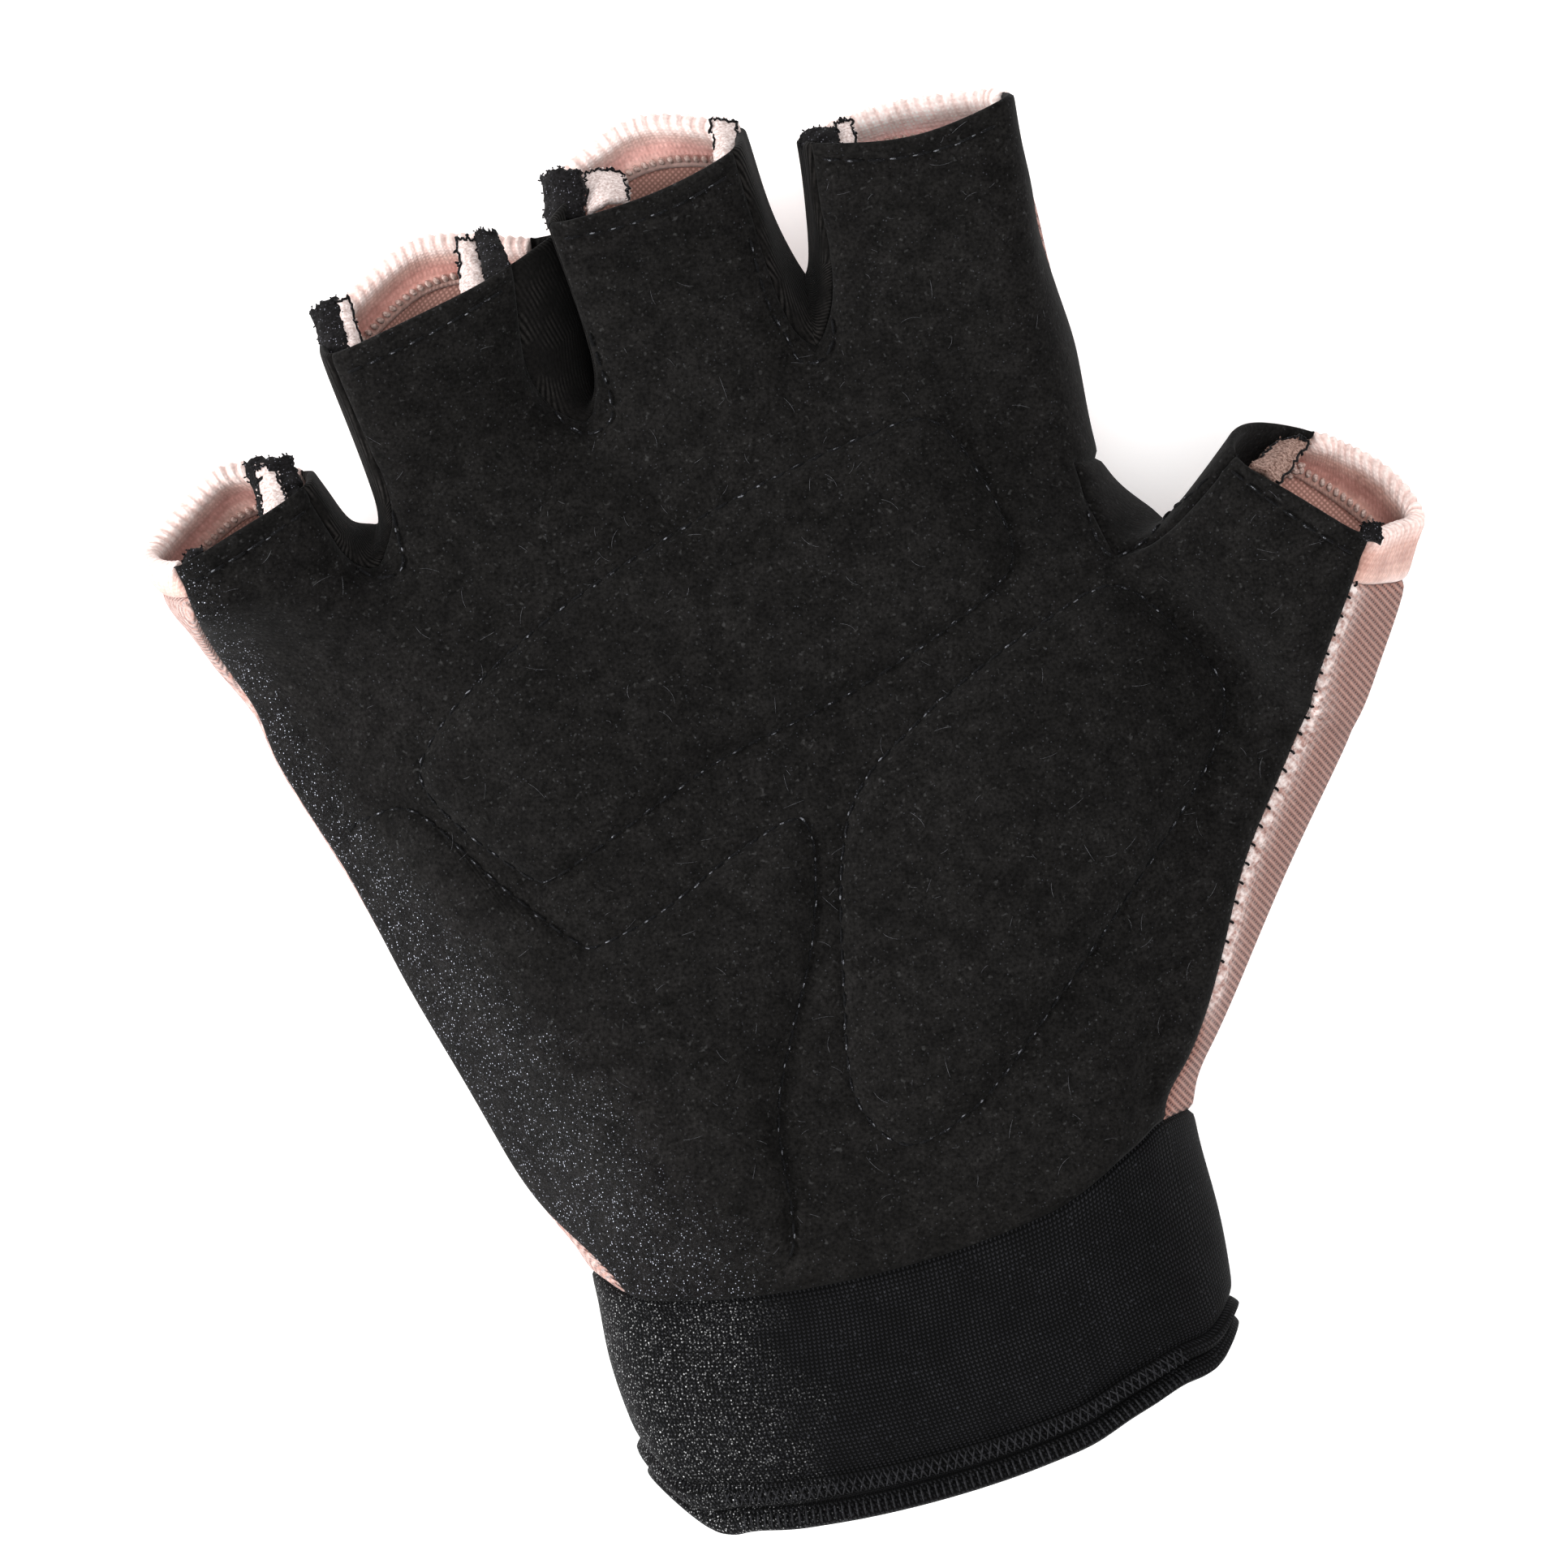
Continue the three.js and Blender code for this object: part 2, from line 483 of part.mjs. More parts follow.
// One panel of the skin, thickened inwards, with half a seam gap taken off every edge that it shares.
// A rolled hem also swells outwards along its middle, and nothing swells below the table.
function panel(skin, normals, name) {
  const { thick, swell, colour } = CLOTH[Object.keys(CLOTH).find((start) => name.startsWith(start))];
  const quads = skin.quads.filter((_, i) => skin.tags[i] === name);
  const others = skin.quads.filter((_, i) => skin.tags[i] !== name);
  const keyOf = (a, b) => Math.min(a, b) * 1e6 + Math.max(a, b);
  const shared = new Set(others.flatMap((quad) => quad.map((corner, i) => keyOf(corner, quad[(i + 1) % 4]))));
  const directed = new Set(quads.flatMap((quad) => quad.map((corner, i) => `${corner},${quad[(i + 1) % 4]}`)));
  const rim = [...directed].map((text) => text.split(",").map(Number))
    .filter(([a, b]) => !directed.has(`${b},${a}`));
  const inward = new Map();
  rim.filter(([a, b]) => shared.has(keyOf(a, b))).forEach(([a, b]) => {
    [a, b].forEach((corner) => {
      const side = unit(cross(normals[corner], add(skin.points[b], skin.points[a], -1)));
      inward.set(corner, add(inward.get(corner) ?? [0, 0, 0], side, 0.5));
    });
  });
  const used = [...new Set(quads.flat())];
  const edge = new Set(rim.flat());
  const local = new Map(used.map((index, i) => [index, i]));
  const outer = used.map((index) => {
    const shift = inward.get(index) ?? [0, 0, 0];
    const mitre = Math.min(MITRE_LIMIT, 1 / (length(shift) || 1));
    const point = add(skin.points[index], unit(shift), (SEAM_GAP / 2) * mitre);
    const full = add(point, normals[index], edge.has(index) ? 0 : swell);
    return [full[0], full[1], Math.max(full[2], 0)];
  });
  const inner = used.map((index, i) => add(outer[i], normals[index], -thick));
  const count = used.length;
  const triangles = quads.flatMap((quad) => {
    const face = quad.map((index) => local.get(index));
    return [...twoTriangles(face), ...twoTriangles(face.map((i) => i + count).reverse())];
  });
  rim.forEach(([a, b]) => {
    const [i, j] = [local.get(a), local.get(b)];
    triangles.push(...twoTriangles([j, i, i + count, j + count]));
  });
  return meshFrom(name, [...outer, ...inner], triangles, COLOURS[colour]);
}

// How high a pad lies over a point of the plan, clear of the palm's outer face and more so where that slopes.
function padHeight(skin, x, y) {
  let best = -Infinity;
  skin.quads.forEach((quad, i) => {
    if (skin.tags[i] !== "palm_panel") {
      return;
    }
    twoTriangles(quad).forEach((corners) => {
      const [a, b, c] = corners.map((index) => skin.points[index]);
      const area = (b[0] - a[0]) * (c[1] - a[1]) - (c[0] - a[0]) * (b[1] - a[1]);
      const u = ((x - a[0]) * (c[1] - a[1]) - (c[0] - a[0]) * (y - a[1])) / area;
      const v = ((b[0] - a[0]) * (y - a[1]) - (x - a[0]) * (b[1] - a[1])) / area;
      if (area > 1e-6 && u >= -1e-6 && v >= -1e-6 && u + v <= 1 + 1e-6) {
        const upright = unit(cross(add(b, a, -1), add(c, a, -1)))[2];
        const height = a[2] + u * (b[2] - a[2]) + v * (c[2] - a[2]);
        best = Math.max(best, height + PAD_GAP / Math.max(upright, 0.4));
      }
    });
  });
  return best;
}

// A stitched-on pad: its outline filled in rings, lying on the palm and rising from a thin edge.
function pad(skin, name) {
  const { centre, outline } = PADS[name];
  const curve = new THREE.CatmullRomCurve3(outline.map(([x, y]) => new THREE.Vector3(x, y, 0)), true, "centripetal");
  const edge = curve.getSpacedPoints(PAD_STEPS).slice(0, PAD_STEPS).reverse();
  const top = [];
  const bottom = [];
  PAD_RINGS.forEach(({ out, rise }) => {
    edge.forEach((point) => {
      const x = mix(centre[0], point.x, out);
      const y = mix(centre[1], point.y, out);
      const height = padHeight(skin, x, y);
      top.push([x, y, height + PAD_EDGE + rise * PAD_RISE]);
      bottom.push([x, y, height]);
    });
  });
  const middle = padHeight(skin, ...centre);
  top.push([...centre, middle + PAD_EDGE + PAD_RISE]);
  bottom.push([...centre, middle]);
  const count = top.length;
  const triangles = [];
  const addBoth = (face) => {
    triangles.push(face, face.map((i) => i + count).reverse());
  };
  for (let i = 0; i < PAD_STEPS; i += 1) {
    const next = (i + 1) % PAD_STEPS;
    for (let ring = 0; ring + 1 < PAD_RINGS.length; ring += 1) {
      const [outer, inner] = [ring * PAD_STEPS, (ring + 1) * PAD_STEPS];
      twoTriangles([outer + i, outer + next, inner + next, inner + i]).forEach(addBoth);
    }
    const last = (PAD_RINGS.length - 1) * PAD_STEPS;
    addBoth([last + i, last + next, count - 1]);
    triangles.push(...twoTriangles([next, i, i + count, next + count]));
  }
  return meshFrom(name, [...top, ...bottom], triangles, COLOURS.suede);
}

function build() {
  buildCage();
  fitCage(cage);
  const skin = subdivide(cage);
  skin.points = limitPoints(skin, neighbourhood(skin));
  skin.points = skin.points.map(([x, y, z]) => [x, y, z < REST_SNAP ? 0 : z]);
  const normals = vertexNormals(skin);
  const panels = [...new Set(skin.tags)].map((name) => panel(skin, normals, name));
  const pads = Object.keys(PADS).map((name) => pad(skin, name));
  const glove = new THREE.Group();
  glove.name = "cycling_glove";
  glove.add(...panels, ...pads);
  const box = new THREE.Box3().setFromObject(glove);
  const centre = box.getCenter(new THREE.Vector3());
  glove.children.forEach((mesh) => mesh.geometry.translate(-centre.x, -centre.y, -box.min.z));
  return glove;
}

export default build();
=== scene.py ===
"""Dresses the fingerless cycling glove: suede palm, pads, pink knit back, knit cuff, stitches and lint."""

import math
from collections import namedtuple
from functools import lru_cache

import bpy
import numpy as np
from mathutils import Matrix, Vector
from mathutils.bvhtree import BVHTree
from mathutils.kdtree import KDTree


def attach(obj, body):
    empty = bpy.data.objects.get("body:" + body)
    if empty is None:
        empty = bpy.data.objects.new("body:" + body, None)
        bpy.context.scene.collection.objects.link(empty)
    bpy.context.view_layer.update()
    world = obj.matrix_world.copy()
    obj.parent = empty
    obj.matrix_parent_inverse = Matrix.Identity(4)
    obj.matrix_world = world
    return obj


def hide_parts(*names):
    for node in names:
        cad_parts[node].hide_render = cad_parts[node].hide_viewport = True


bl_info = {
    "name": "Fingerless Cycling Glove",
    "version": (1, 0, 0),
    "blender": (4, 5, 0),
    "location": "View3D > Sidebar > Glove",
    "description": "Sews the cloth, pads and stitches of a fingerless cycling glove over its packed solids",
    "category": "Add Mesh",
}

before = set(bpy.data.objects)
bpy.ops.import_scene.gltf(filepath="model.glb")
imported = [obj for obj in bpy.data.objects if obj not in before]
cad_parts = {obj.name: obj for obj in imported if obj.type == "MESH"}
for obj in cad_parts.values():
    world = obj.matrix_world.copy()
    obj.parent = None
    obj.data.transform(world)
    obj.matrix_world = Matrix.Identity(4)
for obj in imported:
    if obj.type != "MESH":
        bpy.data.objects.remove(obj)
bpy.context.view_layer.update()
MM = 0.001

# The tables are in millimetres in the hand's own frame, whose origin is here in the part's frame.
HAND_ORIGIN = (-3.320, -0.904, 0.0)

# Palm columns run from 0 at the little finger's side to 12 at the index finger's and 15 at the thumb's. The
# hems of the finger holes have one depth, and the line of stitches near the palm's edge another.
INDEX_COLUMN = 12
THUMB_COLUMN = 15
CROTCH_COLUMNS = (3, 6, 9)
HEM_DEPTH = 4.2
PALM_HEM = 2.2

# One row per section of the hand and cuff: its outline, the palm's edges, how far it bows and its heights.
Row = namedtuple("Row", "name left seam_l index seam_r right bow back_bow top left_z right_z z_l z_r hollow")
BODY_ROWS = (
    Row("hem_end", (-32.0, -67.5), (-27.4, -73.6), (19.5, -71.8), (30.4, -68.0), (32.6, -64.8),
        -3.2, 3.4, 29.3, 15.0, 15.0, 22.5, 22.5, 0.0),
    Row("roll_middle", (-32.5, -65.4), (-28.4, -71.0), (19.6, -69.6), (31.0, -65.9), (33.2, -63.0),
        -3.2, 3.7, 29.5, 15.0, 15.0, 22.5, 22.5, 0.0),
    Row("band_end", (-33.1, -62.4), (-30.4, -67.4), (19.6, -67.3), (31.2, -63.8), (33.4, -61.0),
        -3.6, 4.0, 29.5, 15.0, 15.0, 22.5, 22.5, 0.0),
    Row("cuff", (-34.3, -53.0), (-31.9, -56.4), (20.8, -57.0), (30.9, -53.0), (33.9, -51.5),
        -4.2, 3.0, 29.0, 14.5, 14.5, 22.0, 22.0, 0.0),
    Row("wrist", (-34.4, -43.6), (-31.3, -46.6), (22.4, -45.4), (30.6, -41.0), (33.7, -40.6),
        -4.4, 2.0, 28.6, 13.0, 13.0, 21.0, 22.0, 0.3),
    Row("heel_low", (-37.8, -34.6), (-38.0, -36.0), (26.6, -29.5), (34.2, -35.4), (37.3, -33.8),
        -4.0, 0.0, 30.0, 7.0, 10.0, 12.0, 23.0, 0.9),
    Row("heel", (-41.4, -22.0), (-42.8, -23.0), (29.9, -15.0), (39.5, -27.0), (42.4, -26.8),
        -2.5, 0.0, 31.0, 6.8, 9.5, 11.5, 23.5, 1.6),
    Row("mid_palm", (-45.4, -9.5), (-47.0, -10.2), (32.8, -2.0), (44.6, -16.7), (48.0, -19.0),
        -0.5, 0.0, 31.0, 6.8, 9.5, 11.5, 24.0, 2.0),
    Row("palm", (-49.4, 4.2), (-51.1, 3.8), (35.4, 9.6), (49.6, -9.1), (53.4, -11.7),
        2.0, 0.0, 30.0, 6.8, 9.5, 11.5, 24.5, 1.6),
    Row("thumb_crotch", (-54.0, 17.0), (-55.7, 16.8), (38.2, 20.6), (54.3, -2.4), (58.7, -5.0),
        4.6, 2.0, 28.8, 6.8, 9.5, 11.5, 25.0, 0.8),
)
CUFF_PIECES = {"hem_end": "cuff_hem_lower", "roll_middle": "cuff_hem_upper", "band_end": "cuff_band",
               "cuff": "cuff_band"}

# The two rows above the thumb crotch end at the index finger's side.
KnuckleRow = namedtuple("KnuckleRow",
                        "name left seam_l index right bow back_bow top left_z right_z z_l z_r hollow")
KNUCKLE_ROWS = (
    KnuckleRow("knuckle", (-56.0, 23.4), (-57.0, 23.2), (36.4, 31.0), (38.8, 31.0),
               6.4, 3.0, 28.2, 7.0, 13.0, 12.0, 23.5, 0.2),
    KnuckleRow("finger_base", (-59.4, 29.6), (-59.3, 29.3), (36.2, 42.5), (38.8, 42.5),
               9.0, 7.0, 28.6, 8.5, 13.5, 15.0, 24.5, 0.0),
)

# Each finger gap: palm edge, middle of the web and back edge.
Crotch = namedtuple("Crotch", "column palm web back")
CROTCHES = (
    Crotch(3, (-40.4, 36.4, 24.6), (-40.0, 41.0, 14.6), (-40.4, 36.6, 4.6)),
    Crotch(6, (-14.8, 46.8, 26.0), (-11.8, 50.0, 15.5), (-12.8, 46.6, 4.8)),
    Crotch(9, (11.3, 49.4, 26.6), (12.2, 55.4, 17.0), (12.0, 51.6, 5.6)),
)
THUMB_WEB = (43.2, 24.4, 14.5)
THUMB_CROTCH_BACK = (40.5, 20.5, 3.5)

# Two sections per digit, near its base and at its cut end: corners of the palm strip, its height, the tube's
# depth, how far the back reaches on at its left, middle and right, how far it leans over, how far the sides
# stand out, how far the left seam's end turns to the right, and the palm edge's dip and crown.
Section = namedtuple("Section", "left right z depth reach lean out_l out_r cut_l dip crown")
DIGITS = {
    "little": (
        Section((-60.7, 33.8), (-43.6, 40.2), 29.3, 22.5, (1.8, 2.2, 1.8), 0.0, 1.3, 1.8, 0.0, 0.0, 2.6),
        Section((-62.0, 40.4), (-45.7, 46.2), 32.0, 17.0, (4.6, 6.7, 2.2), 0.4, 3.0, 0.9, 0.0, 0.4, 1.8)),
    "ring": (
        Section((-37.9, 42.6), (-19.2, 53.0), 30.6, 22.0, (2.0, 2.5, 2.0), 1.4, 1.4, 7.4, 0.0, 0.0, 2.4),
        Section((-40.5, 59.4), (-18.6, 64.6), 35.4, 17.5, (4.2, 7.1, 2.4), 1.6, 0.9, 5.4, 0.0, 0.5, 2.0)),
    "middle": (
        Section((-12.9, 54.0), (8.6, 57.0), 31.2, 22.5, (2.0, 2.5, 2.0), 0.6, -3.4, 1.4, 0.0, 0.0, 2.2),
        Section((-14.3, 68.2), (7.4, 71.6), 36.4, 17.5, (4.4, 7.2, 3.0), 1.0, -2.8, 0.9, 0.0, 1.2, 2.0)),
    "index": (
        Section((14.4, 57.6), (36.4, 53.4), 30.9, 22.0, (1.5, 1.8, 1.5), -0.4, 0.4, 1.6, 0.0, 0.0, 2.4),
        Section((15.1, 70.6), (37.4, 70.8), 34.8, 17.0, (1.3, 2.7, 1.6), -0.9, -0.3, 0.7, 0.0, 1.6, 2.0)),
    "thumb": (
        Section((44.6, 22.0), (56.6, 1.4), 32.0, 24.0, (2.5, 3.0, 2.5), 3.0, 2.0, 3.5, 0.0, 0.0, 3.0),
        Section((52.9, 28.0), (65.7, 15.9), 33.6, 18.5, (7.0, 7.7, 5.2), 4.2, 2.6, 0.5, 3.2, 0.6, 2.0)),
}
FINGERS = ("little", "ring", "middle", "index")
LONG_DIGIT = 15
MIDDLE_SPLIT = 0.4
KNUCKLE_HEIGHTS = {1: 25.6, 2: 27.6, 4: 28.8, 5: 29.2, 7: 29.4, 8: 29.4, 10: 29.2, 11: 28.2}
WEB_PIECES = ("fourchette_little_ring", "fourchette_ring_middle", "fourchette_middle_index")

# Quilted pads in plan: the point each is filled from, the edge that is stitched down through the suede, and
# the edge that is caught in the side and cuff seams, where no stitches show.
Pad = namedtuple("Pad", "name centre stitched caught")
PADS = (
    Pad("upper_palm_pad", (-6, 19), (
        (21.4, 38.8), (24.6, 34.6), (27.3, 22.4), (24.6, 19.4), (8.2, 12.1), (-9.0, 7.4), (-18.3, 3.4),
        (-27.6, -0.6), (-29.8, -1.2), (-31.6, -0.2), (-40.6, 12.2), (-38.2, 16.8), (-23.6, 26.4),
        (-3.2, 34.2), (14.2, 38.4)), ()),
    Pad("heel_pad", (-24, -27), (
        (-49.6, 8.6), (-46.8, 9.8), (-42.6, 9.6), (-34.8, -0.4), (-28.2, -8.1), (-26.6, -9.2), (-24.6, -9.0),
        (-18.5, -7.2), (-9.6, -2.9), (-3.4, -0.6), (-1.4, -0.5), (-0.6, -2.2), (-2.6, -12.6), (-10.4, -30.6),
        (-13.2, -47.2)),
        ((-24.6, -47.6), (-31.4, -42.6), (-40.4, -22.6), (-45.6, -6.6))),
    Pad("thumb_base_pad", (22, -9), (
        (37.4, 16.8), (43.8, 9.4), (46.4, 2.8), (42.6, -4.6), (34.0, -13.8), (22.0, -25.2), (9.8, -35.4),
        (2.2, -37.4), (-1.8, -32.2), (-0.9, -20.6), (4.4, -0.4), (13.0, 6.8), (28.8, 14.6)), ()),
)

# Lines of topstitching on the palm round the finger gaps.
GAP_STITCHES = {
    "little_ring": ((-45.4, 44.0), (-44.7, 42.1), (-43.5, 39.5), (-42.4, 36.4), (-40.6, 35.0),
                    (-38.7, 34.8), (-37.5, 35.7), (-37.3, 38.8), (-37.3, 41.9), (-37.4, 46.2)),
    "ring_middle": ((-21.4, 59.8), (-20.4, 55.2), (-18.9, 51.0), (-16.9, 46.6), (-14.8, 45.2),
                    (-12.2, 46.0), (-11.6, 47.9), (-11.9, 51.8), (-12.3, 56.3)),
    "middle_index": ((6.8, 62.0), (7.0, 57.3), (7.5, 53.4), (8.5, 50.6), (9.2, 48.1), (10.9, 47.4),
                     (12.6, 48.3), (13.5, 50.0), (13.7, 53.1), (13.9, 57.0)),
    "thumb": ((37.4, 28.0), (36.4, 25.9), (36.4, 22.7), (37.1, 20.6), (38.3, 19.8), (40.2, 20.3),
              (42.4, 21.4), (45.1, 23.4), (47.7, 24.8), (50.1, 26.3)),
}

# Frayed seam ends that stick up in the mouths of the digits: which cloth, and the four corners in plan with
# the height of each, going round from the base's right corner.
Fray = namedtuple("Fray", "cloth corners heights")
FRAYS = (
    Fray("black", ((-10.1, 67.8), (-14.2, 67.6), (-13.7, 73.6), (-9.4, 73.2)), (31.0, 28.0, 25.0, 27.5)),
    Fray("pale", ((-4.9, 68.6), (-9.6, 68.4), (-9.4, 72.6), (-4.9, 71.6)), (30.0, 30.5, 25.0, 25.0)),
    Fray("pale", ((8.0, 70.6), (4.9, 70.2), (5.4, 75.4), (8.3, 74.4)), (30.5, 30.0, 24.0, 24.5)),
    Fray("black", ((18.6, 69.2), (14.4, 70.4), (14.7, 71.8), (18.5, 71.4)), (30.5, 30.0, 28.5, 28.5)),
    Fray("pale", ((20.3, 69.0), (18.0, 69.2), (18.4, 72.0), (20.5, 72.0)), (30.0, 30.0, 27.0, 27.0)),
    Fray("pale", ((-21.9, 62.8), (-25.0, 62.2), (-24.2, 68.7), (-21.9, 68.0)), (30.5, 30.0, 24.0, 24.5)),
    Fray("black", ((-18.9, 64.0), (-22.0, 63.4), (-22.1, 69.0), (-19.8, 68.6)), (31.5, 31.0, 25.5, 26.0)),
    Fray("black", ((-37.8, 59.0), (-40.9, 58.9), (-41.2, 64.4), (-38.0, 65.5)), (31.0, 29.0, 25.0, 25.5)),
    Fray("pale", ((-36.6, 59.4), (-38.6, 59.2), (-39.3, 64.4), (-37.0, 65.2)), (29.5, 30.5, 26.0, 25.5)),
    Fray("black", ((-46.4, 45.2), (-51.4, 43.4), (-51.9, 50.0), (-46.8, 49.6)), (28.0, 27.0, 22.5, 23.5)),
    Fray("pale", ((-48.0, 44.6), (-50.7, 43.6), (-51.0, 49.0), (-48.4, 48.8)), (29.0, 28.2, 23.9, 24.5)),
    Fray("black", ((-57.4, 39.4), (-61.2, 39.4), (-60.6, 41.4), (-58.4, 42.0)), (28.5, 27.5, 25.5, 26.0)),
    # The thumb's end is of the pale cloth, painted darker as painted shade.
    Fray("shaded", ((56.8, 23.4), (54.2, 26.2), (57.8, 28.2), (61.4, 27.4)), (28.0, 28.0, 20.5, 20.0)),
    Fray("black", ((66.4, 15.0), (64.2, 16.0), (64.8, 17.4), (66.8, 17.0)), (32.0, 32.2, 31.0, 31.0)),
)

# The cloth of each panel by the start of its name: wall in millimetres, subdivision level, how far a rolled
# edge swells, and the material.
Cloth = namedtuple("Cloth", "starts wall level swell cloth")
CLOTHS = (
    Cloth("palm_panel", 1.0, 4, 0.0, "suede"),
    Cloth("back_panel", 1.0, 4, 0.0, "back_knit"),
    Cloth("fourchette", 1.0, 4, 0.0, "gusset"),
    Cloth("thumb_gusset", 1.0, 4, 0.0, "gusset"),
    Cloth("binding", 1.7, 5, 0.0, "hem_knit"),
    Cloth("cuff_band", 1.4, 4, 0.0, "cuff"),
    Cloth("cuff_hem", 1.9, 4, 0.6, "cuff"),
)

# The strips between the digits, as cut: width and length in millimetres.
GUSSET_CUTS = {
    "fourchette_little_ring": (15, 45),
    "fourchette_ring_middle": (16, 55),
    "fourchette_middle_index": (15, 50),
    "thumb_gusset": (17, 34),
}
# Each digit's hem: its painted light, towards a paler pink above 0 and a deeper one below, as the hems are
# lit unevenly, and the share of its pink that is left, as painted shade, in the hollow between its rim and
# its coverstitching.
HEM_PAINTED_LIGHT = {"little": (0.20, 0.86), "ring": (0.12, 0.96), "middle": (0.36, 0.96), "index": (0.92, 1.10),
             "thumb": (-0.08, 0.64)}
# The paler pink that a hem's painted light turns it towards, and the near white of the painted highlight on
# the hems' rims.
PALE_PINK = (0.98, 0.80, 0.76)
HEM_WHITE = (0.98, 0.90, 0.88)
WHITE = (1.0, 1.0, 1.0)
BLACK = (0.0, 0.0, 0.0)

# The ties of the seam beside the thumb, the width that the hems' painted light and shade are spread over,
# the loops of the back's inner face, the beads of the coverstitching, and the step of the points on a line
# of stitches. Then the lint, how many radii a topstitch's ends sink, and the share, lengths and radii of the
# pale threads laid on its tops as painted glints.
TIE_PITCH = 2.2 * MM
HEM_BAND = 6.5 * MM
INNER_KNIT = 0.45 * MM
BEAD_PITCH = 0.95 * MM
BEAD_RADIUS = 0.32 * MM
BEADS_FROM_SEAM = 1.1 * MM
LINE_STEP = 0.4 * MM
LINT_FIBRES = 200
SUNK = 0.3
GLINT_SHARE = 0.7
GLINT_LENGTHS = (0.30 * MM, 0.75 * MM)
GLINT_RADII = (0.07 * MM, 0.12 * MM)

# What lies lower than this isn't the palm, and a stitch never steps further up or down than this.
LEAST_HEIGHT = 15 * MM
GREATEST_STEP = 1.6 * MM


class GloveSizes(bpy.types.PropertyGroup):
    """Sizes that a maker would change, in metres."""

    thread: bpy.props.FloatProperty(
        name="Thread", description="Radius of the sewing thread", default=0.15 * MM, unit="LENGTH")
    stitch: bpy.props.FloatProperty(
        name="Stitch", description="Length of one topstitch", default=1.7 * MM, unit="LENGTH")
    stitch_gap: bpy.props.FloatProperty(
        name="Stitch gap", description="Space between two topstitches", default=0.6 * MM, unit="LENGTH")
    puff: bpy.props.FloatProperty(
        name="Puff", description="How far a pad swells inside its stitches", default=1.0 * MM, unit="LENGTH")
    dome: bpy.props.FloatProperty(
        name="Dome", description="How much further a pad's middle rises", default=0.9 * MM, unit="LENGTH")
    groove: bpy.props.FloatProperty(
        name="Groove", description="How deep a line of stitches sinks in", default=0.4 * MM, unit="LENGTH")
    rib: bpy.props.FloatProperty(
        name="Hem rib", description="Pitch of the ribs of the finger hems", default=1.25 * MM, unit="LENGTH")
    knit: bpy.props.FloatProperty(
        name="Knit rib", description="Pitch of the back's knitted ribs", default=0.68 * MM, unit="LENGTH")
    cuff_knit: bpy.props.FloatProperty(
        name="Cuff rib", description="Pitch of the cuff's knitted columns", default=0.5 * MM, unit="LENGTH")


class GloveColours(bpy.types.PropertyGroup):
    """Colours of the cloths and threads."""

    suede: bpy.props.FloatVectorProperty(
        name="Suede", description="Palm and pads", default=(0.0058, 0.0053, 0.0050), subtype="COLOR")
    suede_light: bpy.props.FloatVectorProperty(
        name="Suede nap", description="Raised fibres of the suede", default=(0.0125, 0.0117, 0.0113),
        subtype="COLOR")
    pink: bpy.props.FloatVectorProperty(
        name="Pink", description="Knit of the back and hems", default=(0.66, 0.40, 0.34), subtype="COLOR")
    pink_deep: bpy.props.FloatVectorProperty(
        name="Deep pink", description="Between the ribs", default=(0.30, 0.13, 0.10), subtype="COLOR")
    cuff: bpy.props.FloatVectorProperty(
        name="Cuff", description="Knit of the wrist band", default=(0.0022, 0.0022, 0.0025),
        subtype="COLOR")
    # Colour of the painted glints, standing for fibre tips that catch the window's light.
    glint: bpy.props.FloatVectorProperty(
        name="Glints", description="Fibre tips that catch the window's light", default=(0.50, 0.52, 0.60),
        subtype="COLOR")
    thread: bpy.props.FloatVectorProperty(
        name="Thread", description="Topstitching", default=(0.0040, 0.0040, 0.0044), subtype="COLOR")
    floor: bpy.props.FloatVectorProperty(
        name="Floor", description="Table under the glove", default=(0.93, 0.93, 0.93), subtype="COLOR")


def mix(a, b, t):
    return a + (b - a) * t


def mix_plan(p, q, t):
    return (mix(p[0], q[0], t), mix(p[1], q[1], t))


def unit(vectors):
    """Vectors of length one; a zero vector stays."""
    return vectors / np.maximum(np.linalg.norm(vectors, axis=-1, keepdims=True), 1e-12)


def distances_along(path):
    """How far each point of a path lies from its start."""
    return np.concatenate([[0.0], np.cumsum(np.linalg.norm(np.diff(path, axis=0), axis=1))])


def nearest(points, targets):
    """The distance from each point to the nearest target, and that target's number."""
    tree = KDTree(len(targets))
    for i, target in enumerate(targets):
        tree.insert(Vector(target), i)
    tree.balance()
    found = [tree.find(Vector(point)) for point in points]
    return np.array([hit[2] for hit in found]), np.array([hit[1] for hit in found])


def bell(distance, width):
    """1 at a distance of 0, falling smoothly to 0 beyond the width."""
    return np.exp(-((distance / width) ** 2))


class Cage:
    """The coarse four-sided faces of the whole skin, each with its panel's name and cloth coordinates."""

    def __init__(self):
        self.points = []
        self.quads = []
        self.panels = []
        self.cloth_uv = []

    def add_point(self, point):
        self.points.append(tuple(point))
        return len(self.points) - 1

    def girth(self, ring):
        """Distances round a ring, one more than its points so that it closes."""
        return distances_along(np.array([self.points[i] for i in (*ring, ring[0])]))

    def add_band(self, lower, upper, panels, start, end):
        """Joins two rings of the same length; start and end are how far along the cloth each lies."""
        low_round, high_round = self.girth(lower), self.girth(upper)
        for i, corner in enumerate(lower):
            n = (i + 1) % len(lower)
            self.quads.append((corner, lower[n], upper[n], upper[i]))
            self.panels.append(panels[i])
            self.cloth_uv.append(((low_round[i], start), (low_round[i + 1], start),
                                  (high_round[i + 1], end), (high_round[i], end)))


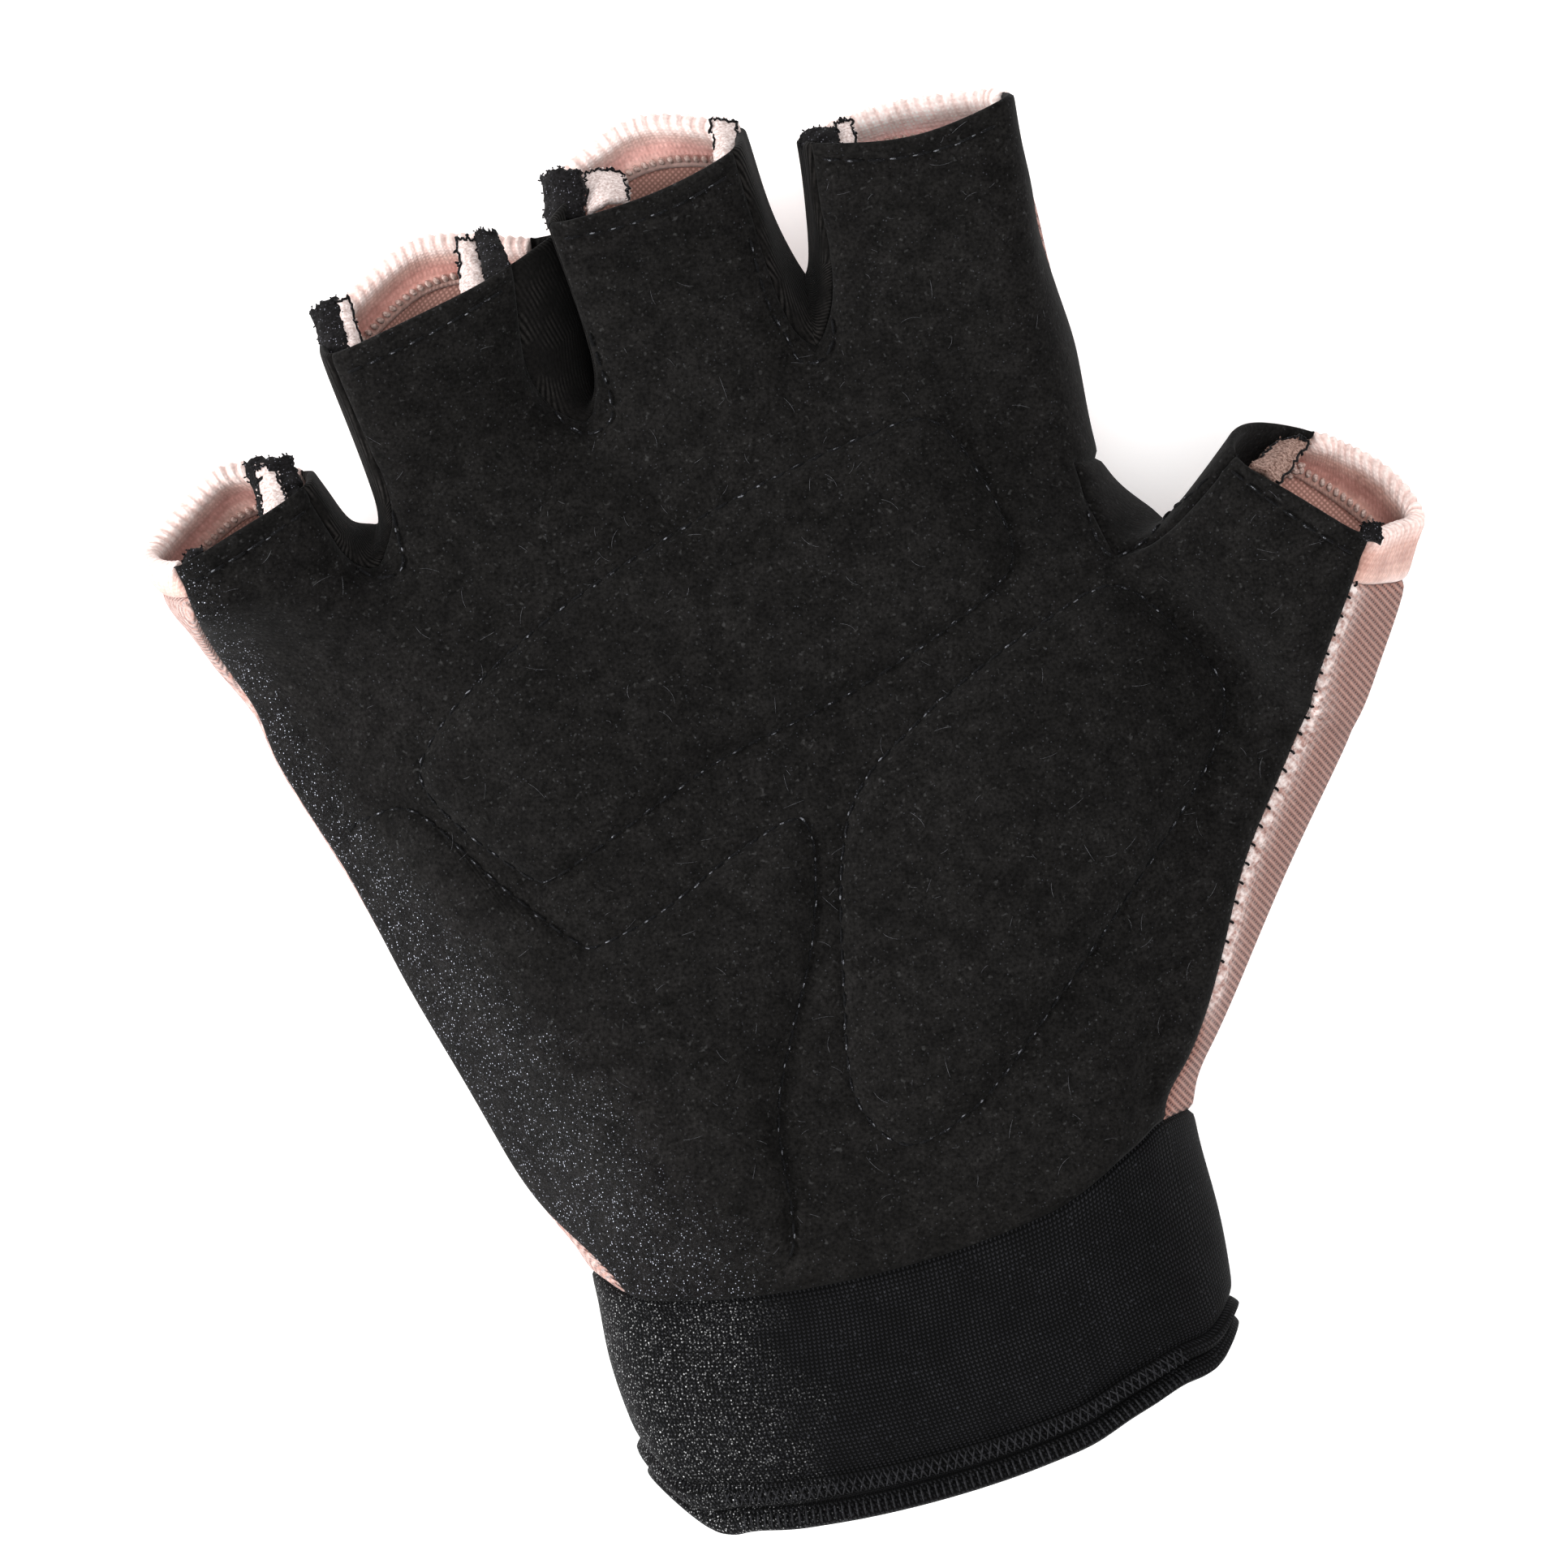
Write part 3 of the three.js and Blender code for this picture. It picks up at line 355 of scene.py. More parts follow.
def palm_point(row, column, last):
    to_thumb = column > INDEX_COLUMN
    if to_thumb:
        across = (column - INDEX_COLUMN) / (last - INDEX_COLUMN)
        plan = mix_plan(row.index, row.seam_r, across)
        bow = 0.0
    else:
        across = column / INDEX_COLUMN
        plan = mix_plan(row.seam_l, row.index, across)
        bow = row.bow * (4 * across * (1 - across)) ** 0.7
    s = column / last
    rise = 1 - abs(2 * s - 1) ** 4
    dent = row.hollow * math.exp(-(((s - 0.45) / 0.16) ** 2))
    return (plan[0], plan[1] + bow, mix(mix(row.z_l, row.z_r, s), row.top, rise) - dent)


def back_point(row, column, last):
    """The back lies flat on the table and turns up only near its two edges."""
    s = column / last
    inner = (0.03 + 0.94 * s) * last
    right = getattr(row, "seam_r", row.right)
    if inner > INDEX_COLUMN:
        plan = mix_plan(row.index, right, (inner - INDEX_COLUMN) / (last - INDEX_COLUMN))
    else:
        plan = mix_plan(row.left, row.index, inner / INDEX_COLUMN)
    edge = abs(2 * s - 1) ** 14
    lift = mix(row.left_z, row.right_z, s) * 0.3
    return (plan[0], plan[1] + row.back_bow * (1 - edge), edge * lift)


def body_section(cage, row, last):
    return {
        "palm": [cage.add_point(palm_point(row, column, last)) for column in range(last + 1)],
        "back": [cage.add_point(back_point(row, column, last)) for column in range(last + 1)],
        "left": cage.add_point((*row.left, row.left_z)),
        "right": cage.add_point((*row.right, row.right_z)),
    }


def ring_of(section, first, last, left, right):
    """Across the palm, round the thumb's side, across the back and round the little finger's side."""
    return section["palm"][first:last + 1] + [right] + section["back"][first:last + 1][::-1] + [left]


def panels_round(count, palm="palm_panel", right_top="back_panel", right_low="back_panel", back="back_panel",
                 left_low="back_panel", left_top="back_panel"):
    return [palm] * count + [right_top, right_low] + [back] * count + [left_low, left_top]


def digit_ring(s):
    """Ten points round a digit: along the palm's edge, the right side, the back and the left side."""
    across = unit(np.subtract(s.right, s.left))
    along = np.array([-across[1], across[0]])
    low = s.z - s.depth
    middle = s.z - s.crown - s.depth * 0.46
    low_corner = low + s.crown * 0.9
    places = (
        (0.00, 0.0, 0.0, s.z - s.crown),
        (0.33, -s.dip, 0.0, s.z),
        (0.67, -s.dip, 0.0, s.z),
        (1.00, 0.0, 0.0, s.z - s.crown),
        (1.00, s.reach[2] * 0.55, s.lean * 0.5 + s.out_r, middle),
        (1.00, s.reach[2], s.lean * 0.9 + s.out_r * 0.3, low_corner),
        (0.67, s.reach[1], s.lean, low),
        (0.33, s.reach[1], s.lean, low),
        (0.00, s.reach[0], s.lean * 0.9 - s.out_l * 0.3 + s.cut_l, low_corner),
        (0.00, s.reach[0] * 0.55, s.lean * 0.5 - s.out_l, middle),
    )
    ring = []
    for share, forward, aside, height in places:
        plan = np.array(mix_plan(s.left, s.right, share)) + along * forward + across * aside
        ring.append((plan[0], plan[1], height))
    return ring


def mix_sections(a, b, t):
    def blend_value(p, q):
        return tuple(mix(x, y, t) for x, y in zip(p, q)) if isinstance(p, tuple) else mix(p, q, t)

    return Section(*map(blend_value, a, b))


def digit_length(name):
    base, tip = DIGITS[name]
    return float(np.linalg.norm(np.subtract(mix_plan(tip.left, tip.right, 0.5),
                                            mix_plan(base.left, base.right, 0.5))))


def add_digit(cage, name, base_ring, start, **sides):
    """Adds a digit's tube above its base ring, ending in a hem whose back half is the knitted binding."""
    base, tip = DIGITS[name]
    long = digit_length(name)
    splits = [0.0] + ([MIDDLE_SPLIT] if long > LONG_DIGIT else []) + [max(0.5, 1 - HEM_DEPTH / long), 1.0]
    below = base_ring
    along = start
    for t in splits:
        ring = [cage.add_point(point) for point in digit_ring(mix_sections(base, tip, t))]
        panels = panels_round(3, **sides)
        if t == 1.0:
            panels = [f"binding_{name}" if panel == "back_panel" else panel for panel in panels]
        reached = start + 6.0 + long * t
        cage.add_band(below, ring, panels, along, reached)
        below, along = ring, reached


def spread_between_crotches(cage, section):
    """Sets the points between two finger gaps on a line from one to the next, raised a little."""
    stops = (0, *CROTCH_COLUMNS, INDEX_COLUMN)
    for side in ("palm", "back"):
        line = section[side]
        for start, stop in zip(stops, stops[1:]):
            for column in range(start + 1, stop):
                t = (column - start) / (stop - start)
                plan = mix_plan(cage.points[line[start]], cage.points[line[stop]], t)
                height = KNUCKLE_HEIGHTS[column] if side == "palm" else 0.6
                cage.points[line[column]] = (plan[0], plan[1] + 1.2, height)


def build_cage():
    cage = Cage()
    sections = [body_section(cage, row, THUMB_COLUMN) for row in BODY_ROWS]
    rings = [ring_of(section, 0, THUMB_COLUMN, section["left"], section["right"]) for section in sections]
    along = [row.left[1] for row in BODY_ROWS]
    for i, row in enumerate(BODY_ROWS[:-1]):
        cloth = CUFF_PIECES.get(row.name)
        panels = [cloth] * (2 * THUMB_COLUMN + 4) if cloth else panels_round(THUMB_COLUMN)
        cage.add_band(rings[i], rings[i + 1], panels, along[i], along[i + 1])

    split = sections[-1]
    cage.points[split["back"][INDEX_COLUMN]] = THUMB_CROTCH_BACK
    thumb_web = cage.add_point(THUMB_WEB)
    thumb_ring = ring_of(split, INDEX_COLUMN, THUMB_COLUMN, thumb_web, split["right"])
    add_digit(cage, "thumb", thumb_ring, along[-1], left_low="thumb_gusset", left_top="thumb_gusset")

    below = ring_of(split, 0, INDEX_COLUMN, split["left"], thumb_web)
    reached = along[-1]
    for row in KNUCKLE_ROWS:
        section = body_section(cage, row, INDEX_COLUMN)
        if row.name == "knuckle":
            panels = panels_round(INDEX_COLUMN, right_top="thumb_gusset", right_low="thumb_gusset")
        else:
            panels = panels_round(INDEX_COLUMN, right_top="palm_panel")
            for crotch in CROTCHES:
                cage.points[section["palm"][crotch.column]] = crotch.palm
                cage.points[section["back"][crotch.column]] = crotch.back
        ring = ring_of(section, 0, INDEX_COLUMN, section["left"], section["right"])
        cage.add_band(below, ring, panels, reached, row.left[1])
        below, reached = ring, row.left[1]
    spread_between_crotches(cage, section)

    webs = [cage.add_point(crotch.web) for crotch in CROTCHES]
    edges = [section["left"], *webs, section["right"]]
    stops = (0, *CROTCH_COLUMNS, INDEX_COLUMN)
    for i, name in enumerate(FINGERS):
        sides = {"right_top": "palm_panel"}
        if i > 0:
            sides.update(left_low=WEB_PIECES[i - 1], left_top=WEB_PIECES[i - 1])
        if i < 3:
            sides.update(right_low=WEB_PIECES[i], right_top=WEB_PIECES[i])
        ring = ring_of(section, stops[i], stops[i + 1], edges[i], edges[i + 1])
        add_digit(cage, name, ring, reached, **sides)
    return cage


def limit_matrix(quads, count):
    """Weights that take the cage's points to where they end up on the smooth surface it stands for."""
    near = [set() for _ in range(count)]
    far = [[] for _ in range(count)]
    uses = {}
    for quad in quads:
        for i, corner in enumerate(quad):
            after = quad[(i + 1) % 4]
            near[corner] |= {after, quad[(i + 3) % 4]}
            far[corner].append(quad[(i + 2) % 4])
            key = (min(corner, after), max(corner, after))
            uses[key] = uses.get(key, 0) + 1
    edge = [[] for _ in range(count)]
    for (a, b), times in uses.items():
        if times == 1:
            edge[a].append(b)
            edge[b].append(a)
    weights = np.zeros((count, count))
    for i in range(count):
        if edge[i]:
            weights[i, i] = 4 / 6
            for other in edge[i]:
                weights[i, other] = 1 / 6
            continue
        n = len(near[i])
        total = n * (n + 5)
        weights[i, i] = n * n / total
        for other in near[i]:
            weights[i, other] += 4 / total
        for other in far[i]:
            weights[i, other] += 1 / total
    return weights


@lru_cache(maxsize=None)
def fitted_cage():
    """The cage, moved outwards until its smooth surface passes through the points of the tables."""
    cage = build_cage()
    targets = np.array(cage.points)
    weights = limit_matrix(cage.quads, len(targets))
    points = targets.copy()
    for _ in range(12):
        points += 0.8 * (targets - weights @ points)
    return cage, points


def flatten_on_table(points):
    """Cloth that would hang within half a millimetre of the table lies on it."""
    z = points[:, 2]
    points[:, 2] = np.where(z < 0.5 * MM, 0.0, np.where(z < 1.0 * MM, 2 * (z - 0.5 * MM), z))


@lru_cache(maxsize=None)
def smooth_skin(level):
    """The whole skin as fine faces: points, normals, faces, each face's panel, and cloth coordinates."""
    cage, points = fitted_cage()
    names = sorted(set(cage.panels))
    mesh = bpy.data.meshes.new("skin")
    mesh.from_pydata((points + HAND_ORIGIN) * MM, [], cage.quads)
    layer = mesh.uv_layers.new(name="cloth")
    layer.data.foreach_set("uv", (np.array(cage.cloth_uv) * MM).ravel())
    mesh.polygons.foreach_set("material_index", [names.index(panel) for panel in cage.panels])
    skin = bpy.data.objects.new("skin", mesh)
    bpy.context.scene.collection.objects.link(skin)
    smooth = skin.modifiers.new("Smooth", "SUBSURF")
    smooth.levels = level
    smooth.render_levels = level
    smooth.uv_smooth = "NONE"
    evaluated = skin.evaluated_get(bpy.context.evaluated_depsgraph_get())
    fine = evaluated.to_mesh()
    count = len(fine.vertices)
    faces = len(fine.polygons)
    result = {"points": np.empty((count, 3)), "normals": np.empty((count, 3)), "panel": np.empty(faces, int),
              "faces": np.empty((faces, 4), int), "uv": np.empty((faces, 4, 2))}
    fine.vertices.foreach_get("co", result["points"].ravel())
    fine.vertex_normals.foreach_get("vector", result["normals"].ravel())
    fine.loops.foreach_get("vertex_index", result["faces"].ravel())
    fine.polygons.foreach_get("material_index", result["panel"])
    fine.uv_layers[0].data.foreach_get("uv", result["uv"].ravel())
    evaluated.to_mesh_clear()
    bpy.data.objects.remove(skin)
    bpy.data.meshes.remove(mesh)
    result["names"] = names
    flatten_on_table(result["points"])
    result["deep_normals"] = even_out(result["normals"], result["faces"], 6 * (level - 1))
    return result


def even_out(vectors, faces, passes):
    """Averages each vertex's vector with its neighbours', and keeps it a unit long."""
    a = faces.ravel()
    b = np.roll(faces, -1, axis=1).ravel()
    for _ in range(passes):
        total = vectors * 2.0
        np.add.at(total, a, vectors[b])
        np.add.at(total, b, vectors[a])
        vectors = total / np.maximum(np.linalg.norm(total, axis=1, keepdims=True), 1e-9)
    return vectors


def panel_sheet(name, level):
    """One panel cut out of the skin, with its rim and how far each vertex lies from it."""
    skin = smooth_skin(level)
    mine = skin["panel"] == skin["names"].index(name)
    faces = skin["faces"][mine]
    used, local = np.unique(faces, return_inverse=True)
    local = local.reshape(-1, 4)
    uv = skin["uv"][mine]
    count = len(used)
    a, b = local.ravel(), np.roll(local, -1, axis=1).ravel()
    uv_a, uv_b = uv.reshape(-1, 2), np.roll(uv, -1, axis=1).reshape(-1, 2)
    on_rim = ~np.isin(a * count + b, b * count + a)
    everywhere = np.stack([skin["faces"].ravel(), np.roll(skin["faces"], -1, axis=1).ravel()], axis=1)
    size = len(skin["points"])
    keys, times = np.unique(np.sort(everywhere, axis=1) @ [size, 1], return_counts=True)
    open_keys = keys[times == 1]
    rim_a, rim_b = a[on_rim], b[on_rim]
    rim_keys = np.sort(np.stack([used[rim_a], used[rim_b]], axis=1), axis=1) @ [size, 1]
    is_free = np.isin(rim_keys, open_keys)
    vertex_uv = np.zeros((count, 2))
    vertex_uv[a] = uv_a
    sheet = {
        "points": skin["points"][used], "normals": skin["normals"][used], "deep": skin["deep_normals"][used],
        "faces": local, "uv": uv, "vertex_uv": vertex_uv, "rim": (rim_a, rim_b),
        "rim_uv": (uv_a[on_rim], uv_b[on_rim]), "is_free": is_free,
    }
    sheet["inward"] = rim_directions(sheet)
    sheet["to_seam"], _ = distance_to(sheet, ~is_free)
    sheet["to_free"], sheet["nearest_free"] = distance_to(sheet, is_free)
    return sheet


def rim_directions(sheet):
    """At each rim vertex, the direction along the cloth into the panel."""
    a, b = sheet["rim"]
    points, normals = sheet["points"], sheet["normals"]
    inward = np.zeros_like(points)
    step = points[b] - points[a]
    np.add.at(inward, a, np.cross(normals[a], step))
    np.add.at(inward, b, np.cross(normals[b], step))
    return unit(inward)


def distance_to(sheet, chosen):
    """Each vertex's distance to the chosen rim edges, and the rim vertex it is nearest to."""
    points = sheet["points"]
    ends = np.unique(np.concatenate([sheet["rim"][0][chosen], sheet["rim"][1][chosen]]))
    if len(ends) == 0:
        return np.full(len(points), 1.0), np.zeros(len(points), int)
    distances, which = nearest(points, points[ends])
    return distances, ends[which]


def rounded(distance, radius):
    """How far a cloth's face drops near its edge, so that the edge is round."""
    q = np.clip((radius - distance) / radius, 0, 1)
    return radius * 0.85 * (1 - np.sqrt(1 - q * q))


def waves(points, scales, seed):
    """Smooth small irregularities between -1 and 1, the same on each run."""
    rng = np.random.default_rng(seed)
    total = np.zeros(len(points))
    for scale in scales:
        for _ in range(5):
            direction = rng.normal(size=3)
            direction /= np.linalg.norm(direction)
            total += np.sin(points @ direction * (2 * math.pi / scale) + rng.uniform(0, 2 * math.pi))
    return total / (5 * len(scales)) * 1.6


def add_object(name, points, faces, material, uv=None):
    """A mesh object at the origin, smooth shaded, with optional cloth coordinates per face corner."""
    mesh = bpy.data.meshes.new(name)
    mesh.from_pydata(np.asarray(points), [], [tuple(face) for face in faces])
    if uv is not None:
        layer = mesh.uv_layers.new(name="cloth")
        layer.data.foreach_set("uv", np.asarray(uv, dtype=float).ravel())
    mesh.polygons.foreach_set("use_smooth", [True] * len(mesh.polygons))
    mesh.materials.append(material)
    mesh.update()
    piece = bpy.data.objects.new(name, mesh)
    bpy.context.scene.collection.objects.link(piece)
    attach(piece, "root")
    return piece


def thicken(name, sheet, outer, inner, material):
    """Closes a panel: its outer face, its inner face and the rim between them."""
    count = len(outer)
    a, b = sheet["rim"]
    faces = np.concatenate([
        sheet["faces"],
        sheet["faces"][:, ::-1] + count,
        np.stack([b, a, a + count, b + count], axis=1),
    ])
    uv_a, uv_b = sheet["rim_uv"]
    uv = np.concatenate([sheet["uv"], sheet["uv"][:, ::-1], np.stack([uv_b, uv_a, uv_a, uv_b], axis=1)])
    return add_object(name, np.concatenate([outer, inner]), faces.tolist(), material, uv)


def cloth_of(name):
    return next(cloth for cloth in CLOTHS if name.startswith(cloth.starts))


def build_panel(name, material, relief=None, inner_relief=None, scallop=None):
    """A panel of cloth with rounded seams. relief and inner_relief add to its two faces, in metres."""
    cloth = cloth_of(name)
    sheet = panel_sheet(name, cloth.level)
    wall = cloth.wall * MM
    edge = np.minimum(sheet["to_seam"], sheet["to_free"])
    drop = rounded(edge, wall / 2)
    turn = 0.22 * MM * bell(sheet["to_seam"], 0.9 * MM)
    swell = cloth.swell * MM * np.clip(sheet["to_seam"] / (1.0 * MM), 0, 1)
    lift = -drop - turn + swell
    if relief is not None:
        lift = lift + relief(sheet)
    at_free, at_seam = rounded(sheet["to_free"], wall / 2), rounded(sheet["to_seam"], wall / 2)
    inner_lift = at_free + 0.35 * at_seam + 0.3 * turn
    if inner_relief is not None:
        inner_lift = inner_lift - inner_relief(sheet)
    slide = sheet["inward"] * (-0.03 * MM)
    if scallop is not None:
        slide = slide + scallop(sheet)
    base = sheet["points"] + slide
    outer = base + sheet["normals"] * lift[:, None]
    inner = base + sheet["deep"] * (inner_lift - wall)[:, None]
    outer[:, 2] = np.maximum(outer[:, 2], 0.0)
    piece = thicken(name + "_cloth", sheet, outer, inner, material)
    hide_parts(name)
    return piece, sheet, outer, inner


def mark(piece, name, outer, inner):
    """Stores a value for each point of a panel's outer and inner faces, for its material to read."""
    layer = piece.data.attributes.new(name, "FLOAT", "POINT")
    layer.data.foreach_set("value", np.concatenate([outer, inner]))


def thumb_seam(sheet):
    """The back's rim vertices along the strip beside the thumb, in order, and how far along each lies."""
    a, b = sheet["rim"]
    middle = (sheet["points"][a] + sheet["points"][b]) / 2
    chosen = ~sheet["is_free"] & (middle[:, 0] > 28 * MM) & (middle[:, 2] > 17 * MM)
    chosen &= (middle[:, 1] > -42 * MM) & (middle[:, 1] < 14 * MM)
    chosen &= middle[:, 0] * 0.85 - middle[:, 1] * 0.52 < 45.4 * MM
    chain = rim_chain(sheet, chosen)
    return chain, distances_along(sheet["points"][chain])


def beside_seam(sheet):
    """Each vertex's distance from the thumb seam, and how far along the seam it lies."""
    chain, reached = thumb_seam(sheet)
    away, which = nearest(sheet["points"], sheet["points"][chain])
    return away, reached[which]


def hand_plan(points):
    """Plan points of the tables, in metres in the part's frame."""
    return (np.asarray(points, dtype=float) + HAND_ORIGIN[:2]) * MM


def curve_through(points, closed=False):
    """Points a line step apart on a smooth curve through the given plan points of the tables."""
    points = hand_plan(points)
    count = len(points)
    dense = []
    for i in range(count if closed else count - 1):
        p0, p1, p2, p3 = [points[j % count] if closed else points[min(max(j, 0), count - 1)]
                          for j in (i - 1, i, i + 1, i + 2)]
        knots = [0.0]
        for p, q in ((p0, p1), (p1, p2), (p2, p3)):
            knots.append(knots[-1] + max(np.linalg.norm(q - p), 1e-6) ** 0.5)
        t = np.linspace(knots[1], knots[2], 24, endpoint=False)[:, None]
        level = [p0, p1, p2, p3]
        for first, last in ((0, 1), (0, 2), (1, 2)):
            shares = [(t - knots[k + first]) / (knots[k + last] - knots[k + first])
                      for k in range(len(level) - 1)]
            level = [mix(low, high, share) for low, high, share in zip(level, level[1:], shares)]
        dense.append(level[0])
    dense.append(points[:1] if closed else points[-1:])
    path = np.concatenate(dense)
    long = path_length(path)
    return along_path(path, np.linspace(0, long, max(2, int(round(long / LINE_STEP)) + 1)))[0]


def along_path(path, stops, *fields):
    """The path's points at the given distances from its start, and each field's values there."""
    reached = distances_along(path)
    return [np.stack([np.interp(stops, reached, column) for column in field.T], axis=1)
            for field in (path, *fields)]


def path_length(path):
    return float(distances_along(path)[-1])


def flat(plan):
    """Plan points as points of the table's surface."""
    return np.column_stack([plan[:, :2], np.zeros(len(plan))])


def plan_distance(points, lines):
    """Distance in plan from each point to the nearest of the given lines."""
    return nearest(flat(points), flat(np.concatenate(lines)))[0]


def drop_onto(tree, plan):
    """Heights and normals of the surface under each plan point, looking straight down."""
    heights = np.zeros(len(plan))
    normals = np.tile([0.0, 0.0, 1.0], (len(plan), 1))
    for i, (x, y) in enumerate(plan):
        place, normal, _, _ = tree.ray_cast(Vector((x, y, 0.08)), Vector((0, 0, -1)))
        if place is not None:
            heights[i] = place.z
            normals[i] = normal
    return heights, normals


def lay_on(tree, plan, lift):
    """The longest part of a plan line that lies on the cloth below it, with the cloth's normals there."""
    heights, normals = drop_onto(tree, plan)
    on_cloth = heights > LEAST_HEIGHT
    on_cloth[1:] &= np.abs(np.diff(heights)) < GREATEST_STEP
    breaks = np.flatnonzero(~on_cloth)
    starts = np.concatenate([[0], breaks + 1])
    ends = np.concatenate([breaks, [len(plan)]])
    longest = int(np.argmax(ends - starts))
    part = slice(starts[longest], ends[longest])
    return np.column_stack([plan[part], heights[part] + lift]), normals[part]


def surface_tree(points, faces):
    return BVHTree.FromPolygons([tuple(point) for point in points], [tuple(face) for face in faces])


class Threads:
    """Many short tubes of thread gathered into one mesh."""

    def __init__(self):
        self.points = []
        self.faces = []
        self.count = 0

    def add(self, path, radius, sides=6, taper=0.5):
        path = np.asarray(path, dtype=float)
        tangents = unit(np.gradient(path, axis=0))
        up = (0.0, 0.0, 1.0) if abs(tangents[0, 2]) < 0.9 else (1.0, 0.0, 0.0)
        across = unit(np.cross(tangents, up))
        over = np.cross(across, tangents)
        radii = np.full(len(path), radius)
        radii[0] = radii[-1] = radius * taper
        turns = np.linspace(0, 2 * math.pi, sides, endpoint=False)
        ring = across[:, None] * np.cos(turns)[None, :, None] + over[:, None] * np.sin(turns)[None, :, None]
        points = path[:, None] + ring * radii[:, None, None]
        start = self.count
        self.points.append(points.reshape(-1, 3))
        for i in range(len(path) - 1):
            for j in range(sides):
                k = (j + 1) % sides
                low, high = start + i * sides, start + (i + 1) * sides
                self.faces.append((low + j, low + k, high + k, high + j)[::-1])
        self.faces.append(tuple(start + j for j in range(sides)))
        self.faces.append(tuple(start + (len(path) - 1) * sides + j for j in range(sides))[::-1])
        self.count += len(path) * sides

    def build(self, name, material, slot):
        add_object(name, np.concatenate(self.points), self.faces, material)


def stitch_along(threads, path, normals, stitch, gap, radius):
    """Dashes of thread along a path: each dips into the cloth at both ends."""
    count = max(1, int(path_length(path) / (stitch + gap)))
    pitch = path_length(path) / count
    lift = (np.sin(np.linspace(0, math.pi, 7)) ** 0.6 - SUNK) * radius * 1.3
    for i in range(count):
        place, normal = along_path(path, i * pitch + np.linspace(0.0, pitch - gap, 7), normals)
        threads.add(place + normal * lift[:, None], radius)


def rim_chain(sheet, chosen):
    """The longest run of the chosen rim edges, as vertex numbers in order."""
    a, b = sheet["rim"]
    follows = dict(zip(a[chosen].tolist(), b[chosen].tolist()))
    longest = []
    for start in set(follows) - set(follows.values()):
        chain = [start]
        while chain[-1] in follows:
            chain.append(follows[chain[-1]])
        longest = max(longest, chain, key=len)
    return np.array(longest)


def cross_stitches(threads, path, outward, normals, pitch, reach, radius, lift, lean=0.0, start=0.5):
    """Short stitches across a line, from reach[0] to reach[1] beside it, each leaning along it by lean."""
    share = np.linspace(0, 1, 5)
    for i in range(int(path_length(path) / pitch)):
        place, out, up = along_path(path, (i + start) * pitch + (share - 0.5) * lean, outward, normals)
        arch = np.sin(math.pi * share)[:, None] * lift
        threads.add(place + out * mix(reach[0], reach[1], share)[:, None] + up * (arch + 0.02 * MM), radius)


def frayed_slab(corners, heights, seed, wall):
    """Points and faces of a small rumpled piece of cloth with ragged edges."""
    rng = np.random.default_rng(seed)
    across, up = 16, 18
    p = [np.array((*hand_plan(corner), height * MM)) for corner, height in zip(corners, heights)]
    u, v = np.meshgrid(np.linspace(0, 1, across), np.linspace(0, 1, up))
    u, v = u.ravel()[:, None], v.ravel()[:, None]
    ragged = np.tile(rng.uniform(-1, 1, across), up)[:, None]
    v = v * (1 + 0.05 * ragged * v)
    sides = np.repeat(rng.uniform(-1, 1, up), across)[:, None]
    u = u + 0.05 * sides * np.abs(u - 0.5) * 2
    sheet = mix(mix(p[1], p[0], u), mix(p[2], p[3], u), v)
    normal = unit(np.cross(p[0] - p[1], p[2] - p[1]))
    size = np.linalg.norm(p[3] - p[2])
    rumple = waves(sheet, (1.3 * MM, 2.6 * MM), seed)[:, None] * 0.20 * MM
    roll = np.sin(math.pi * u) * size * 0.16
    front = sheet + normal * (rumple + roll + wall / 2)
    behind = sheet + normal * (rumple + roll - wall / 2)
    count = len(sheet)
    faces = []
    for row in range(up - 1):
        for column in range(across - 1):
            i = row * across + column
            quad = (i, i + 1, i + across + 1, i + across)
            faces += [quad, tuple(k + count for k in quad[::-1])]
    rim = list(range(across)) + [row * across + across - 1 for row in range(1, up)]
    rim += [(up - 1) * across + i for i in range(across - 2, -1, -1)]
    rim += [row * across for row in range(up - 2, 0, -1)]
    for i, j in zip(rim, rim[1:] + rim[:1]):
        faces.append((j, i, i + count, j + count))
    return np.concatenate([front, behind]), faces, front[rim], normal


# Materials

def scaled(colour, *shares):
    """A colour times one share, or times a share for each of red, green and blue."""
    return tuple(c * share for c, share in zip(colour, shares * 3 if len(shares) == 1 else shares))


def mix_colour(first, second, share):
    return tuple(mix(a, b, share) for a, b in zip(first, second))


def grey(value):
    return (value, value, value)


def new_material(name, colour, roughness, sheen=0.0, sheen_roughness=0.5, specular=0.3):
    material = bpy.data.materials.new(name)
    material.use_nodes = True
    shader = material.node_tree.nodes["Principled BSDF"]
    shader.inputs["Base Color"].default_value = (*colour, 1.0)
    shader.inputs["Roughness"].default_value = roughness
    shader.inputs["Specular IOR Level"].default_value = specular
    shader.inputs["Sheen Weight"].default_value = sheen
    shader.inputs["Sheen Roughness"].default_value = sheen_roughness
    return material, material.node_tree, shader


def set_input(tree, socket, value):
    if isinstance(value, bpy.types.NodeSocket):
        tree.links.new(value, socket)
    else:
        socket.default_value = value


def node(tree, kind, **inputs):
    """Adds a node; an input is a number, a colour, or another node's output."""
    made = tree.nodes.new(kind)
    for key, value in inputs.items():
        set_input(tree, made.inputs[key], value)
    return made


def maths(tree, operation, *values):
    made = tree.nodes.new("ShaderNodeMath")
    made.operation = operation
    for socket, value in zip(made.inputs, values):
        set_input(tree, socket, value)
    return made.outputs[0]


def noise(tree, place, scale, detail=2.0):
    return node(tree, "ShaderNodeTexNoise", Vector=place, Scale=scale, Detail=detail).outputs[0]


